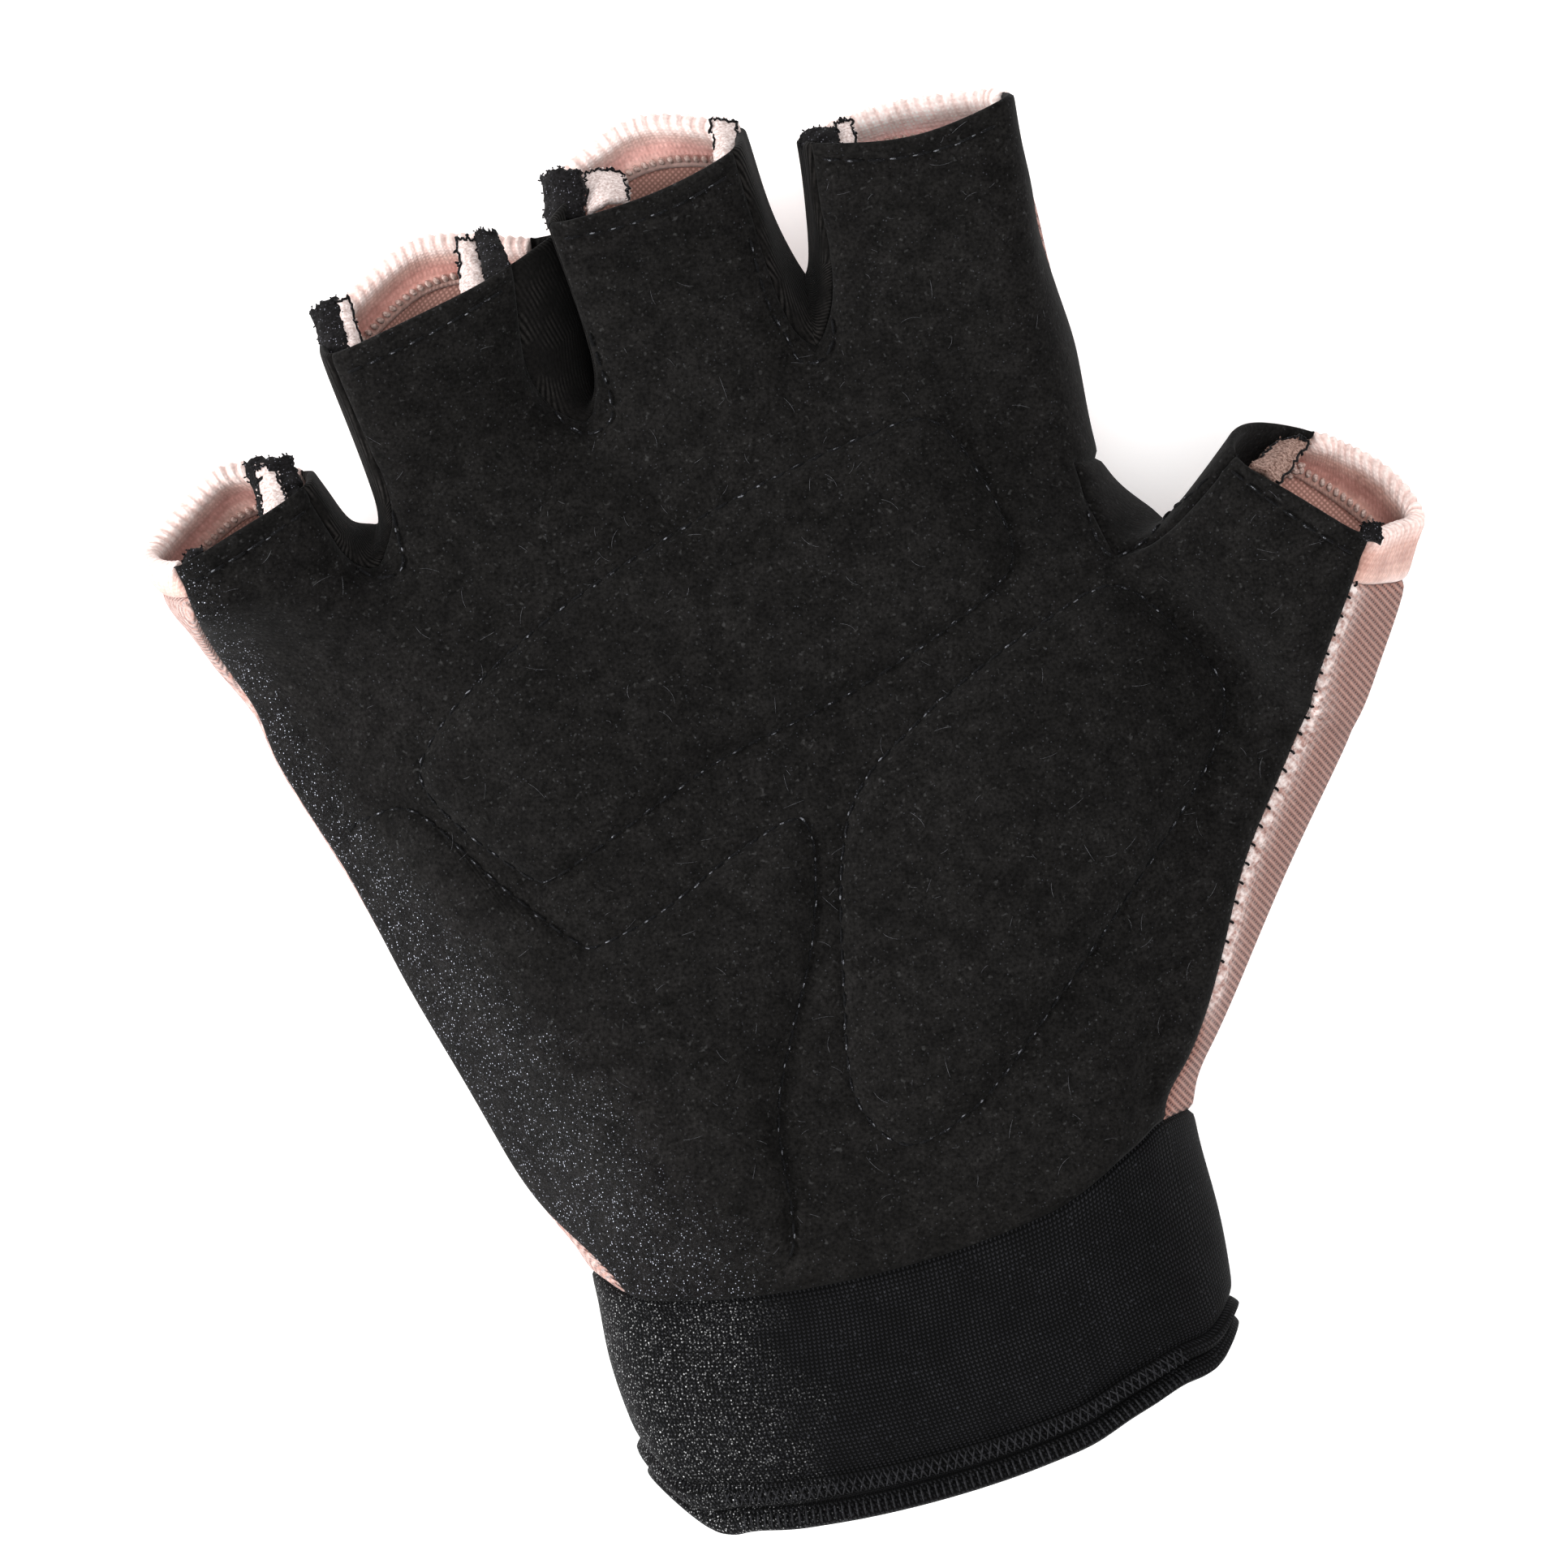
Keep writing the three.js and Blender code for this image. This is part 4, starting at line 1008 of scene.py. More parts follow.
def bands(tree, value, stops):
    """A colour that changes along a value, through the given places and colours."""
    made = node(tree, "ShaderNodeValToRGB", Fac=value)
    elements = made.color_ramp.elements
    while len(elements) < len(stops):
        elements.new(1.0)
    for element, (place, colour) in zip(elements, stops):
        element.position = place
        element.color = (*colour, 1.0)
    return made.outputs[0]


def ramp(tree, value, low, high, start=0.0, end=1.0):
    return bands(tree, value, ((start, low), (end, high)))


def blend(tree, share, first, second, mode="MIX"):
    made = tree.nodes.new("ShaderNodeMix")
    made.data_type = "RGBA"
    made.blend_type = mode
    set_input(tree, made.inputs[0], share)
    for socket, value in ((made.inputs[6], first), (made.inputs[7], second)):
        set_input(tree, socket, value if isinstance(value, bpy.types.NodeSocket) else (*value, 1.0))
    return made.outputs[2]


def multiplied(tree, first, *others):
    for other in others:
        first = blend(tree, 1.0, first, other, "MULTIPLY")
    return first


def dress(tree, shader, colour, height, strength, distance):
    """Gives a material its pattern: the colour, and the height that bumps it."""
    made = node(tree, "ShaderNodeBump", Height=height, Strength=strength, Distance=distance)
    tree.links.new(colour, shader.inputs["Base Color"])
    tree.links.new(made.outputs[0], shader.inputs["Normal"])


def ridge(tree, value, pitch):
    """A wave from 0 to 1 and back, once per pitch."""
    turn = maths(tree, "MULTIPLY", value, 2 * math.pi / pitch)
    return maths(tree, "MULTIPLY_ADD", maths(tree, "COSINE", turn), 0.5, 0.5)


def cloth_coordinates(tree):
    uv = tree.nodes.new("ShaderNodeUVMap")
    uv.uv_map = "cloth"
    parts = node(tree, "ShaderNodeSeparateXYZ", Vector=uv.outputs[0])
    return parts.outputs[0], parts.outputs[1]


def object_place(tree):
    return tree.nodes.new("ShaderNodeTexCoord").outputs["Object"]


def from_left(tree, edge, slope, width, growth, least):
    """1 near the glove's left edge, falling to 0 inside it, over a patchy band.

    At y = 0 the edge lies so many millimetres left of the origin and the band has the given width. The edge
    leans by slope. The band grows towards the wrist by growth and is nowhere narrower than least."""
    x, y, _ = node(tree, "ShaderNodeSeparateXYZ", Vector=object_place(tree)).outputs
    inside = maths(tree, "ADD", maths(tree, "MULTIPLY_ADD", y, slope, x), edge * MM)
    width = maths(tree, "MAXIMUM", maths(tree, "MULTIPLY_ADD", y, -growth, width * MM), least * MM)
    patchy = maths(tree, "MULTIPLY_ADD", noise(tree, object_place(tree), 170.0), 0.7, -0.35)
    share = maths(tree, "ADD", maths(tree, "DIVIDE", inside, width), patchy)
    return ramp(tree, share, WHITE, BLACK, 0.35, 1.0)


def glints(tree, base, share, colour, scale, cover):
    """Adds painted glints to a colour, tiny bright specks standing for fibre tips that catch the light,
    where share lets them.
    """
    cells = node(tree, "ShaderNodeTexVoronoi", Vector=object_place(tree), Scale=scale)
    chosen = node(tree, "ShaderNodeSeparateColor", Color=cells.outputs["Color"])
    dots = ramp(tree, cells.outputs["Distance"], WHITE, BLACK, 0.12, 0.38)
    lit = ramp(tree, chosen.outputs[0], BLACK, WHITE, 1.0 - cover, 1.0)
    return blend(tree, 1.0, base, multiplied(tree, dots, lit, share, colour), "ADD")


@lru_cache(maxsize=None)
def suede():
    """Near-black suede: matte, mottled, with short grey fibres, and painted glints that thicken along the
    left edge.
    """
    colours = bpy.context.scene.glove_colours
    material, tree, shader = new_material("suede", colours.suede, 0.95, sheen=0.028, sheen_roughness=0.5,
                                          specular=0.04)
    place = object_place(tree)
    nap = noise(tree, place, 2600.0, 3.0)
    mottle = noise(tree, place, 420.0, 3.0)
    brushed = noise(tree, place, 60.0, 2.0)
    fibre = noise(tree, place, 1700.0, 1.0)
    base = ramp(tree, nap, scaled(colours.suede, 0.55), colours.suede_light, 0.30, 0.78)
    shade = ramp(tree, mottle, grey(0.62), grey(1.25), 0.32, 0.70)
    broad = ramp(tree, brushed, grey(0.85), grey(1.12), 0.35, 0.65)
    base = multiplied(tree, base, shade, broad)
    base = blend(tree, 1.0, base, ramp(tree, fibre, BLACK, grey(0.020), 0.66, 0.80), "ADD")
    # Painted glints: a few bright specks all over.
    base = glints(tree, base, grey(0.07), tuple(colours.glint), 3600.0, 0.10)
    # Painted highlights where the window's light grazes the left edge: many dim glints and fewer bright
    # ones.
    lit = from_left(tree, 51.0, 0.365, 6.0, 0.22, 4.0)
    base = glints(tree, base, lit, scaled(colours.glint, 0.10), 8500.0, 0.8)
    base = glints(tree, base, lit, scaled(colours.glint, 1.5), 4600.0, 0.22)
    dress(tree, shader, base, maths(tree, "ADD", maths(tree, "MULTIPLY", nap, 0.6), mottle), 0.55, 0.22 * MM)
    return material


def vertex_value(tree, name):
    made = tree.nodes.new("ShaderNodeAttribute")
    made.attribute_name = name
    return made.outputs["Fac"]


@lru_cache(maxsize=None)
def back_knit():
    """Pink rib knit: rounded ribs with tiny holes between them, teased along its seams and painted pale
    there as a painted highlight.
    """
    sizes, colours = bpy.context.scene.glove_sizes, bpy.context.scene.glove_colours
    material, tree, shader = new_material("pink_rib_knit", colours.pink, 0.85, sheen=0.12, specular=0.12)
    round_way, along = cloth_coordinates(tree)
    place = object_place(tree)
    pale, inside = vertex_value(tree, "pale"), vertex_value(tree, "inside")
    rib = ridge(tree, round_way, sizes.knit)
    dots = ridge(tree, along, sizes.knit * 0.42)
    holes = maths(tree, "MULTIPLY", maths(tree, "POWER", maths(tree, "SUBTRACT", 1.0, rib), 3.0), dots)
    fuzz = noise(tree, place, 2400.0, 2.0)
    # Ribs painted lighter on top and darker in their grooves and holes: painted light and shade.
    light = scaled(colours.pink, 0.55, 0.47, 0.45)
    shade = ramp(tree, rib, (0.262, 0.118, 0.098), light, 0.0, 0.40)
    shade = blend(tree, holes, shade, (0.045, 0.010, 0.008))
    shade = multiplied(tree, shade, ramp(tree, fuzz, (0.78, 0.76, 0.75), grey(1.20), 0.3, 0.7))
    # Where pale is set, the knit is teased into strands, painted towards near white as a painted highlight.
    strands = noise(tree, place, 1500.0, 3.0)
    teased = ramp(tree, strands, (0.42, 0.26, 0.23), (0.92, 0.82, 0.79), 0.36, 0.60)
    shade = blend(tree, maths(tree, "MULTIPLY", pale, 0.95), shade, teased)
    knit = maths(tree, "MULTIPLY", ridge(tree, round_way, INNER_KNIT), ridge(tree, along, INNER_KNIT))
    dark, bright = scaled(colours.pink, 0.72, 0.58, 0.56), scaled(colours.pink, 1.30, 1.28, 1.26)
    shade = blend(tree, inside, shade, ramp(tree, knit, dark, bright, 0.0, 0.8))
    height = maths(tree, "MULTIPLY_ADD", fuzz, 0.15, rib)
    height = maths(tree, "SUBTRACT", height, maths(tree, "MULTIPLY", holes, 0.5))
    seen = maths(tree, "MULTIPLY", maths(tree, "SUBTRACT", 1.0, pale), maths(tree, "SUBTRACT", 1.0, inside))
    height = maths(tree, "MULTIPLY_ADD", height, seen, maths(tree, "MULTIPLY", strands, pale))
    dress(tree, shader, shade, height, 0.9, 0.34 * MM)
    return material


@lru_cache(maxsize=None)
def hem_knit(painted_light, hollow):
    """Pink hem knit: a ribbed rim with a painted highlight, painted shade in the hollow inside it, and fine
    knit below the stitching.
    """
    sizes, colours = bpy.context.scene.glove_sizes, bpy.context.scene.glove_colours
    # A hem's pink, painted paler or deeper by the painted light that it is given.
    pink = mix_colour(colours.pink, PALE_PINK, painted_light) if painted_light > 0 else scaled(colours.pink, 1 + painted_light)
    material, tree, shader = new_material("pink_hem_knit", pink, 0.8, sheen=0.2, specular=0.2)
    round_way, along = cloth_coordinates(tree)
    place = object_place(tree)
    from_rim = maths(tree, "DIVIDE", vertex_value(tree, "from_rim"), HEM_BAND)
    inside = vertex_value(tree, "inside")
    rib = ridge(tree, round_way, sizes.rib)
    fuzz = noise(tree, place, 2600.0, 2.0)
    patches = noise(tree, place, 420.0, 2.0)
    strands = noise(tree, place, 900.0, 3.0)
    uneven = maths(tree, "MULTIPLY_ADD", strands, 0.16, maths(tree, "SUBTRACT", from_rim, 0.08))
    pale = mix_colour(pink, HEM_WHITE, 0.62)
    light = scaled(pink, 1.15)
    deep = scaled(pink, hollow, hollow * 0.80, hollow * 0.80)
    # Across the inner face: the rim's painted highlight, painted shade in the hollow, and lighter again
    # below; across the outer face, painted highlights at both edges and a little painted shade between them.
    inner = bands(tree, uneven, ((0.0, pale), (0.14, pale), (0.32, light),
                                 (0.52, deep), (0.66, deep), (0.84, light)))
    outer = bands(tree, uneven, ((0.0, pale), (0.30, pink), (0.55, scaled(pink, 0.84, 0.80, 0.79)),
                                 (0.80, scaled(pink, 1.05, 1.12, 1.14)), (1.0, pale)))
    shade = blend(tree, inside, outer, inner)
    # Near the rim the grooves between the ribs are painted darker: painted shade.
    near_rim = ramp(tree, from_rim, WHITE, grey(0.20), 0.10, 0.36)
    grooves = ramp(tree, rib, (0.88, 0.79, 0.77), (1.05, 1.06, 1.06), 0.0, 0.75)
    shade = blend(tree, near_rim, shade, multiplied(tree, shade, grooves))
    rows = maths(tree, "MULTIPLY", ridge(tree, round_way, 0.48 * MM), ridge(tree, along, 0.42 * MM))
    loops = ramp(tree, rows, (0.93, 0.89, 0.88), (1.07, 1.08, 1.08), 0.0, 0.8)
    tint = ramp(tree, fuzz, (0.86, 0.84, 0.83), grey(1.12), 0.3, 0.7)
    wear = ramp(tree, patches, (0.90, 0.87, 0.86), (1.09, 1.10, 1.10), 0.35, 0.65)
    height = maths(tree, "ADD", maths(tree, "MULTIPLY", rows, 0.4), maths(tree, "MULTIPLY", fuzz, 0.6))
    dress(tree, shader, multiplied(tree, shade, loops, tint, wear), height, 0.5, 0.16 * MM)
    return material


@lru_cache(maxsize=None)
def cuff_knit():
    """Black fine rib knit, with painted glints on its yarn, thickest on the loops along the left where the
    window's light falls.
    """
    sizes, colours = bpy.context.scene.glove_sizes, bpy.context.scene.glove_colours
    material, tree, shader = new_material("cuff_knit", colours.cuff, 0.7, sheen=0.012, specular=0.05)
    round_way, along = cloth_coordinates(tree)
    rib = ridge(tree, round_way, sizes.cuff_knit)
    curved = maths(tree, "MULTIPLY_ADD", rib, sizes.cuff_knit * 0.35, along)
    rows = ridge(tree, curved, sizes.cuff_knit * 0.8)
    stitches = maths(tree, "MULTIPLY", rib, rows)
    place = object_place(tree)
    worn = noise(tree, place, 300.0, 3.0)
    base = ramp(tree, stitches, scaled(colours.cuff, 0.25), scaled(colours.cuff, 6.5), 0.05, 0.9)
    base = multiplied(tree, base, ramp(tree, worn, grey(0.8), grey(1.25), 0.35, 0.65))
    # Painted glints: a few all over, and many on the loops along the left.
    base = glints(tree, base, grey(0.05), tuple(colours.glint), 2200.0, 0.10)
    on_loops = maths(tree, "POWER", stitches, 0.5)
    lit = multiplied(tree, from_left(tree, 38.6, 0.0, 19.0, 0.06, 19.0), on_loops)
    base = glints(tree, base, lit, tuple(min(1.0, c) for c in scaled(colours.glint, 2.4)), 3400.0, 1.0)
    dress(tree, shader, base, maths(tree, "MULTIPLY_ADD", worn, 0.2, stitches), 0.8, 0.20 * MM)
    return material


@lru_cache(maxsize=None)
def gusset_cloth():
    """Black stretch cloth between the fingers, very finely ribbed."""
    colours = bpy.context.scene.glove_colours
    material, tree, shader = new_material("gusset_cloth", colours.suede, 0.9, sheen=0.02, specular=0.05)
    round_way, along = cloth_coordinates(tree)
    rib = ridge(tree, maths(tree, "MULTIPLY_ADD", along, 0.35, round_way), 0.62 * MM)
    place = object_place(tree)
    fuzz = noise(tree, place, 2200.0, 2.0)
    patches = noise(tree, place, 260.0, 2.0)
    seen = ramp(tree, patches, BLACK, WHITE, 0.42, 0.62)
    ribbed = ramp(tree, rib, scaled(colours.suede, 0.45), scaled(colours.suede, 2.8), 0.1, 0.9)
    base = blend(tree, seen, tuple(colours.suede), ribbed)
    base = multiplied(tree, base, ramp(tree, fuzz, grey(0.65), grey(1.4), 0.3, 0.7))
    dress(tree, shader, base, maths(tree, "MULTIPLY_ADD", fuzz, 0.8, rib), 0.4, 0.14 * MM)
    return material


@lru_cache(maxsize=None)
def yarn(name, colour, light, shine, specks):
    """Twisted thread, a little lighter where its strands turn up, with bright specks that are painted
    glints.
    """
    material, tree, shader = new_material(name, colour, 0.7, sheen=shine * 0.5, specular=shine)
    place = object_place(tree)
    strand = noise(tree, place, 3500.0, 2.0)
    base = ramp(tree, strand, scaled(colour, 0.7), light, 0.35, 0.75)
    dress(tree, shader, glints(tree, base, WHITE, specks, 4200.0, 0.30), strand, 0.5, 0.10 * MM)
    return material


def black_thread():
    return yarn("black_thread", tuple(bpy.context.scene.glove_colours.thread), (0.010, 0.010, 0.011), 0.04,
                (0.06, 0.06, 0.07))


# Pale thread laid on stitch tops as painted glints.
def glint_thread():
    return yarn("glint_thread", (0.020, 0.020, 0.023), (0.20, 0.205, 0.225), 0.08, (0.38, 0.39, 0.44))


def grey_thread():
    return yarn("grey_thread", (0.010, 0.010, 0.011), (0.026, 0.026, 0.029), 0.06, (0.05, 0.05, 0.06))


def pale_pink_thread():
    return yarn("pale_pink_thread", (0.52, 0.33, 0.28), (0.84, 0.64, 0.58), 0.12, (0.2, 0.2, 0.2))


def pale_cloth():
    return yarn("pale_cloth", (0.66, 0.50, 0.46), (0.86, 0.76, 0.74), 0.12, (0.2, 0.2, 0.2))


# The pale frayed cloth painted darker: painted shade in the thumb's mouth.
def shaded_cloth():
    return yarn("shaded_cloth", (0.16, 0.080, 0.060), (0.45, 0.30, 0.25), 0.08, (0.25, 0.22, 0.2))


def frayed_cloth():
    return yarn("frayed_black_cloth", (0.0030, 0.0026, 0.0026), (0.011, 0.010, 0.011), 0.05,
                (0.22, 0.22, 0.26))


def lint_fibre():
    return yarn("lint_fibre", (0.05, 0.05, 0.055), (0.14, 0.14, 0.15), 0.05, (0.1, 0.1, 0.1))


# Stitch lines of the palm

@lru_cache(maxsize=None)
def pad_outlines():
    """Each pad's whole outline, and the stretch of it that is stitched down."""
    outlines = {}
    for pad in PADS:
        whole = curve_through(pad.stitched + pad.caught, True)
        if not pad.caught:
            outlines[pad.name] = (whole, whole)
            continue
        last = hand_plan(pad.stitched[-1])
        end = int(np.argmin(np.linalg.norm(whole - last, axis=1)))
        outlines[pad.name] = (whole, whole[:end + 1])
    return outlines


@lru_cache(maxsize=None)
def gap_lines():
    return [curve_through(points) for points in GAP_STITCHES.values()]


@lru_cache(maxsize=None)
def hem_lines():
    """A line of stitches runs a little inside the palm's edge at the end of each digit."""
    lines = []
    for name, (base, tip) in DIGITS.items():
        section = mix_sections(base, tip, 1 - PALM_HEM / digit_length(name))
        across = (0.06, 0.33, 0.67, 0.94)
        points = np.array([mix_plan(section.left, section.right, share) for share in across])
        points[1:3, 1] -= section.dip
        lines.append(curve_through(points))
    return lines


def palm_lines():
    return [stitched for _, stitched in pad_outlines().values()] + gap_lines() + hem_lines()


# What the operators have made, for those that sew or lay something on it.
BUILT = {}


class GLOVE_OT_palm(bpy.types.Operator):
    """Makes the suede palm, with a groove along each line of stitches"""

    bl_idname = "glove.palm"
    bl_label = "Palm"

    def execute(self, context):
        sizes = context.scene.glove_sizes

        def relief(sheet):
            from_line = plan_distance(sheet["points"], palm_lines())
            facing_up = np.clip(sheet["normals"][:, 2] * 2, 0, 1)
            grooves = -sizes.groove * bell(from_line, 0.75 * MM) * facing_up
            puckers = waves(sheet["points"], (9 * MM, 16 * MM), 3) * 0.10 * MM
            return grooves + puckers

        piece, sheet, outer, _ = build_panel("palm_panel", suede(), relief)
        tree = surface_tree(outer, sheet["faces"])
        BUILT["palm"] = {"outer": outer, "faces": sheet["faces"], "tree": tree}
        return {"FINISHED"}


class GLOVE_OT_pads(bpy.types.Operator):
    """Makes the three pads, puffed up inside their topstitching"""

    bl_idname = "glove.pads"
    bl_label = "Pads"

    def execute(self, context):
        for pad in PADS:
            self.build_pad(context.scene.glove_sizes, pad)
        return {"FINISHED"}

    def build_pad(self, sizes, pad):
        whole, stitched = pad_outlines()[pad.name]
        edge = whole[:-1]
        centre = hand_plan(pad.centre)
        rings = 44
        shares = 1 - (np.arange(rings) / rings) ** 1.3
        plan = np.concatenate([centre + (edge - centre) * share for share in shares] + [centre[None]])
        heights, _ = drop_onto(BUILT["palm"]["tree"], plan)
        inside = plan_distance(plan, [stitched])
        from_seam = plan_distance(plan, [whole[len(stitched):]]) if pad.caught else np.full(len(plan), 1.0)
        settle = np.clip(from_seam / (9 * MM), 0, 1)
        settle = settle * settle * (3 - 2 * settle)
        stitch_pitch = sizes.stitch + sizes.stitch_gap
        spacing = np.linalg.norm(edge[1] - edge[0])
        around = np.append(np.tile(np.arange(len(edge)) * spacing, rings), 0.0)
        pucker = np.cos(2 * math.pi * around / stitch_pitch) * np.exp(-inside / (1.3 * MM)) * 0.07 * MM
        swell = sizes.puff * (1 - np.exp(-inside / (1.1 * MM)))
        swell = swell + sizes.dome * (1 - np.exp(-inside / (9 * MM)))
        dimples = waves(flat(plan), (7 * MM, 13 * MM, 22 * MM), 11) * 0.16 * MM
        dimples = dimples * np.clip(inside / (3 * MM), 0, 1)
        over_palm = 0.12 * MM * np.clip(from_seam / (1 * MM), 0.1, 1)
        top = heights + over_palm + (swell + dimples + pucker) * settle
        bottom = heights + 0.03 * MM
        count, n = len(plan), len(edge)
        faces = []
        for ring in range(rings - 1):
            for i in range(n):
                j = (i + 1) % n
                quad = (ring * n + i, ring * n + j, (ring + 1) * n + j, (ring + 1) * n + i)
                faces += [quad[::-1], tuple(k + count for k in quad)]
        last = (rings - 1) * n
        for i in range(n):
            j = (i + 1) % n
            faces += [(count - 1, last + j, last + i), (last + i + count, last + j + count, 2 * count - 1),
                      (i, j, j + count, i + count)]
        points = np.concatenate([np.column_stack([plan, top]), np.column_stack([plan, bottom])])
        piece = add_object(pad.name + "_quilted", points, faces, suede())
        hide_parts(pad.name)
        BUILT[pad.name] = {"tree": surface_tree(points, faces)}


class GLOVE_OT_back(bpy.types.Operator):
    """Makes the pink knit back"""

    bl_idname = "glove.back"
    bl_label = "Back"

    def execute(self, context):
        def relief(sheet):
            points, normals = sheet["points"], sheet["normals"]
            x, y = points[:, 0], points[:, 1]
            beside_palm = np.clip((28 * MM - y) / (6 * MM), 0, 1) * np.clip((y + 42 * MM) / (6 * MM), 0, 1)
            little_side = np.clip(-normals[:, 0], 0, 1) * beside_palm * (x < -25 * MM)
            away, reached = beside_seam(sheet)
            between_ties = np.abs(np.sin(math.pi * reached / TIE_PITCH)) ** 0.6
            bulge = 0.34 * MM * between_ties * bell(away - 0.8 * MM, 0.9 * MM)
            from_thumb = np.linalg.norm(points[:, :2] - hand_plan((62.8, 3.0)), axis=1)
            return bulge - 0.5 * MM * bell(from_thumb, 6 * MM) - 0.55 * MM * little_side

        piece, sheet, outer, _ = build_panel("back_panel", back_knit(), relief)
        self.turn_ribs(piece)
        # pale: a painted highlight along the thumb seam, notched at its ties, where the knit is also teased,
        # and a weaker painted highlight on the side wall by the little finger.
        away, reached = beside_seam(sheet)
        between_ties = 0.55 + 0.45 * np.abs(np.sin(math.pi * reached / TIE_PITCH))
        x, z = sheet["points"][:, 0], sheet["points"][:, 2]
        little_side = np.clip((-20 * MM - x) / (6 * MM), 0, 1) * np.clip((z - 1 * MM) / (3 * MM), 0, 1)
        beside_thumb = np.maximum(between_ties * bell(away, 1.5 * MM), 0.40 * bell(away, 3 * MM))
        pale = np.maximum(beside_thumb, 0.35 * little_side)
        mark(piece, "pale", pale, 0 * pale)
        mark(piece, "inside", 0 * pale, 0 * pale + 1)
        BUILT["back"] = {"piece": piece, "sheet": sheet, "outer": outer}
        return {"FINISHED"}

    def turn_ribs(self, piece):
        """The ribs slant across the back, and go on round its edge along the little finger's side."""
        mesh = piece.data
        points = np.empty((len(mesh.vertices), 3))
        mesh.vertices.foreach_get("co", points.ravel())
        x, y, z = points.T
        corners = np.empty(len(mesh.loops), int)
        mesh.loops.foreach_get("vertex_index", corners)
        beyond = x - z * np.clip((-20 * MM - x) / (8 * MM), 0, 1)
        slant = np.radians(58)
        across = beyond * np.sin(slant) + y * np.cos(slant)
        along = beyond * np.cos(slant) - y * np.sin(slant)
        uv = np.stack([across[corners], along[corners]], axis=1)
        mesh.uv_layers["cloth"].data.foreach_set("uv", uv.ravel())


class GLOVE_OT_gussets(bpy.types.Operator):
    """Makes the black strips between the fingers and in the thumb's crotch"""

    bl_idname = "glove.gussets"
    bl_label = "Gussets"

    def execute(self, context):
        def fuller_web(sheet):
            """The web beside the index finger bulges."""
            web = (np.array(CROTCHES[2].web) + HAND_ORIGIN) * MM
            return 1.5 * MM * bell(np.linalg.norm(sheet["points"] - web, axis=1), 7 * MM)

        for name, (width, length) in GUSSET_CUTS.items():
            cloth = suede() if name == "thumb_gusset" else gusset_cloth()
            relief = fuller_web if name == "fourchette_middle_index" else None
            piece, sheet, outer, _ = build_panel(name, cloth, relief)
            BUILT[name] = {"sheet": sheet, "outer": outer}
        return {"FINISHED"}


class GLOVE_OT_bindings(bpy.types.Operator):
    """Makes the ribbed pink hems of the finger holes"""

    bl_idname = "glove.bindings"
    bl_label = "Hems of the finger holes"

    def execute(self, context):
        sizes = context.scene.glove_sizes

        def rib(sheet):
            wave = 0.5 + 0.5 * np.cos(2 * math.pi * sheet["vertex_uv"][:, 0] / sizes.rib)
            return wave ** 0.7

        def relief(sheet):
            return rib(sheet) * 0.17 * MM * np.exp(-sheet["to_free"] / (3 * MM))

        def soft_relief(sheet):
            from_rim = sheet["to_free"]
            roll = 0.45 * MM * bell(from_rim - 1.0 * MM, 1.2 * MM)
            hollow = 0.30 * MM * bell(from_rim - 3.6 * MM, 1.2 * MM)
            return roll - hollow + rib(sheet) * 0.12 * MM * np.exp(-from_rim / (1.6 * MM))

        def scallop(sheet):
            reach = np.clip(1 - sheet["to_free"] / (1.2 * MM), 0, 1)
            outward = -sheet["inward"][sheet["nearest_free"]]
            return outward * (rib(sheet) * reach * 0.28 * MM)[:, None]

        for name in (*FINGERS, "thumb"):
            knit = hem_knit(*HEM_PAINTED_LIGHT[name])
            piece, sheet, _, inner = build_panel(f"binding_{name}", knit, relief, soft_relief, scallop)
            mark(piece, "from_rim", sheet["to_free"], sheet["to_free"])
            mark(piece, "inside", 0 * sheet["to_free"], 0 * sheet["to_free"] + 1)
            BUILT[f"binding_{name}"] = {"sheet": sheet, "inner": inner}
        return {"FINISHED"}


class GLOVE_OT_cuff(bpy.types.Operator):
    """Makes the knitted wrist band and the two rolls of its hem"""

    bl_idname = "glove.cuff"
    bl_label = "Cuff"

    def execute(self, context):
        for name in ("cuff_band", "cuff_hem_upper", "cuff_hem_lower"):
            piece, sheet, outer, _ = build_panel(name, cuff_knit())
            BUILT[name] = {"sheet": sheet, "outer": outer}
        return {"FINISHED"}


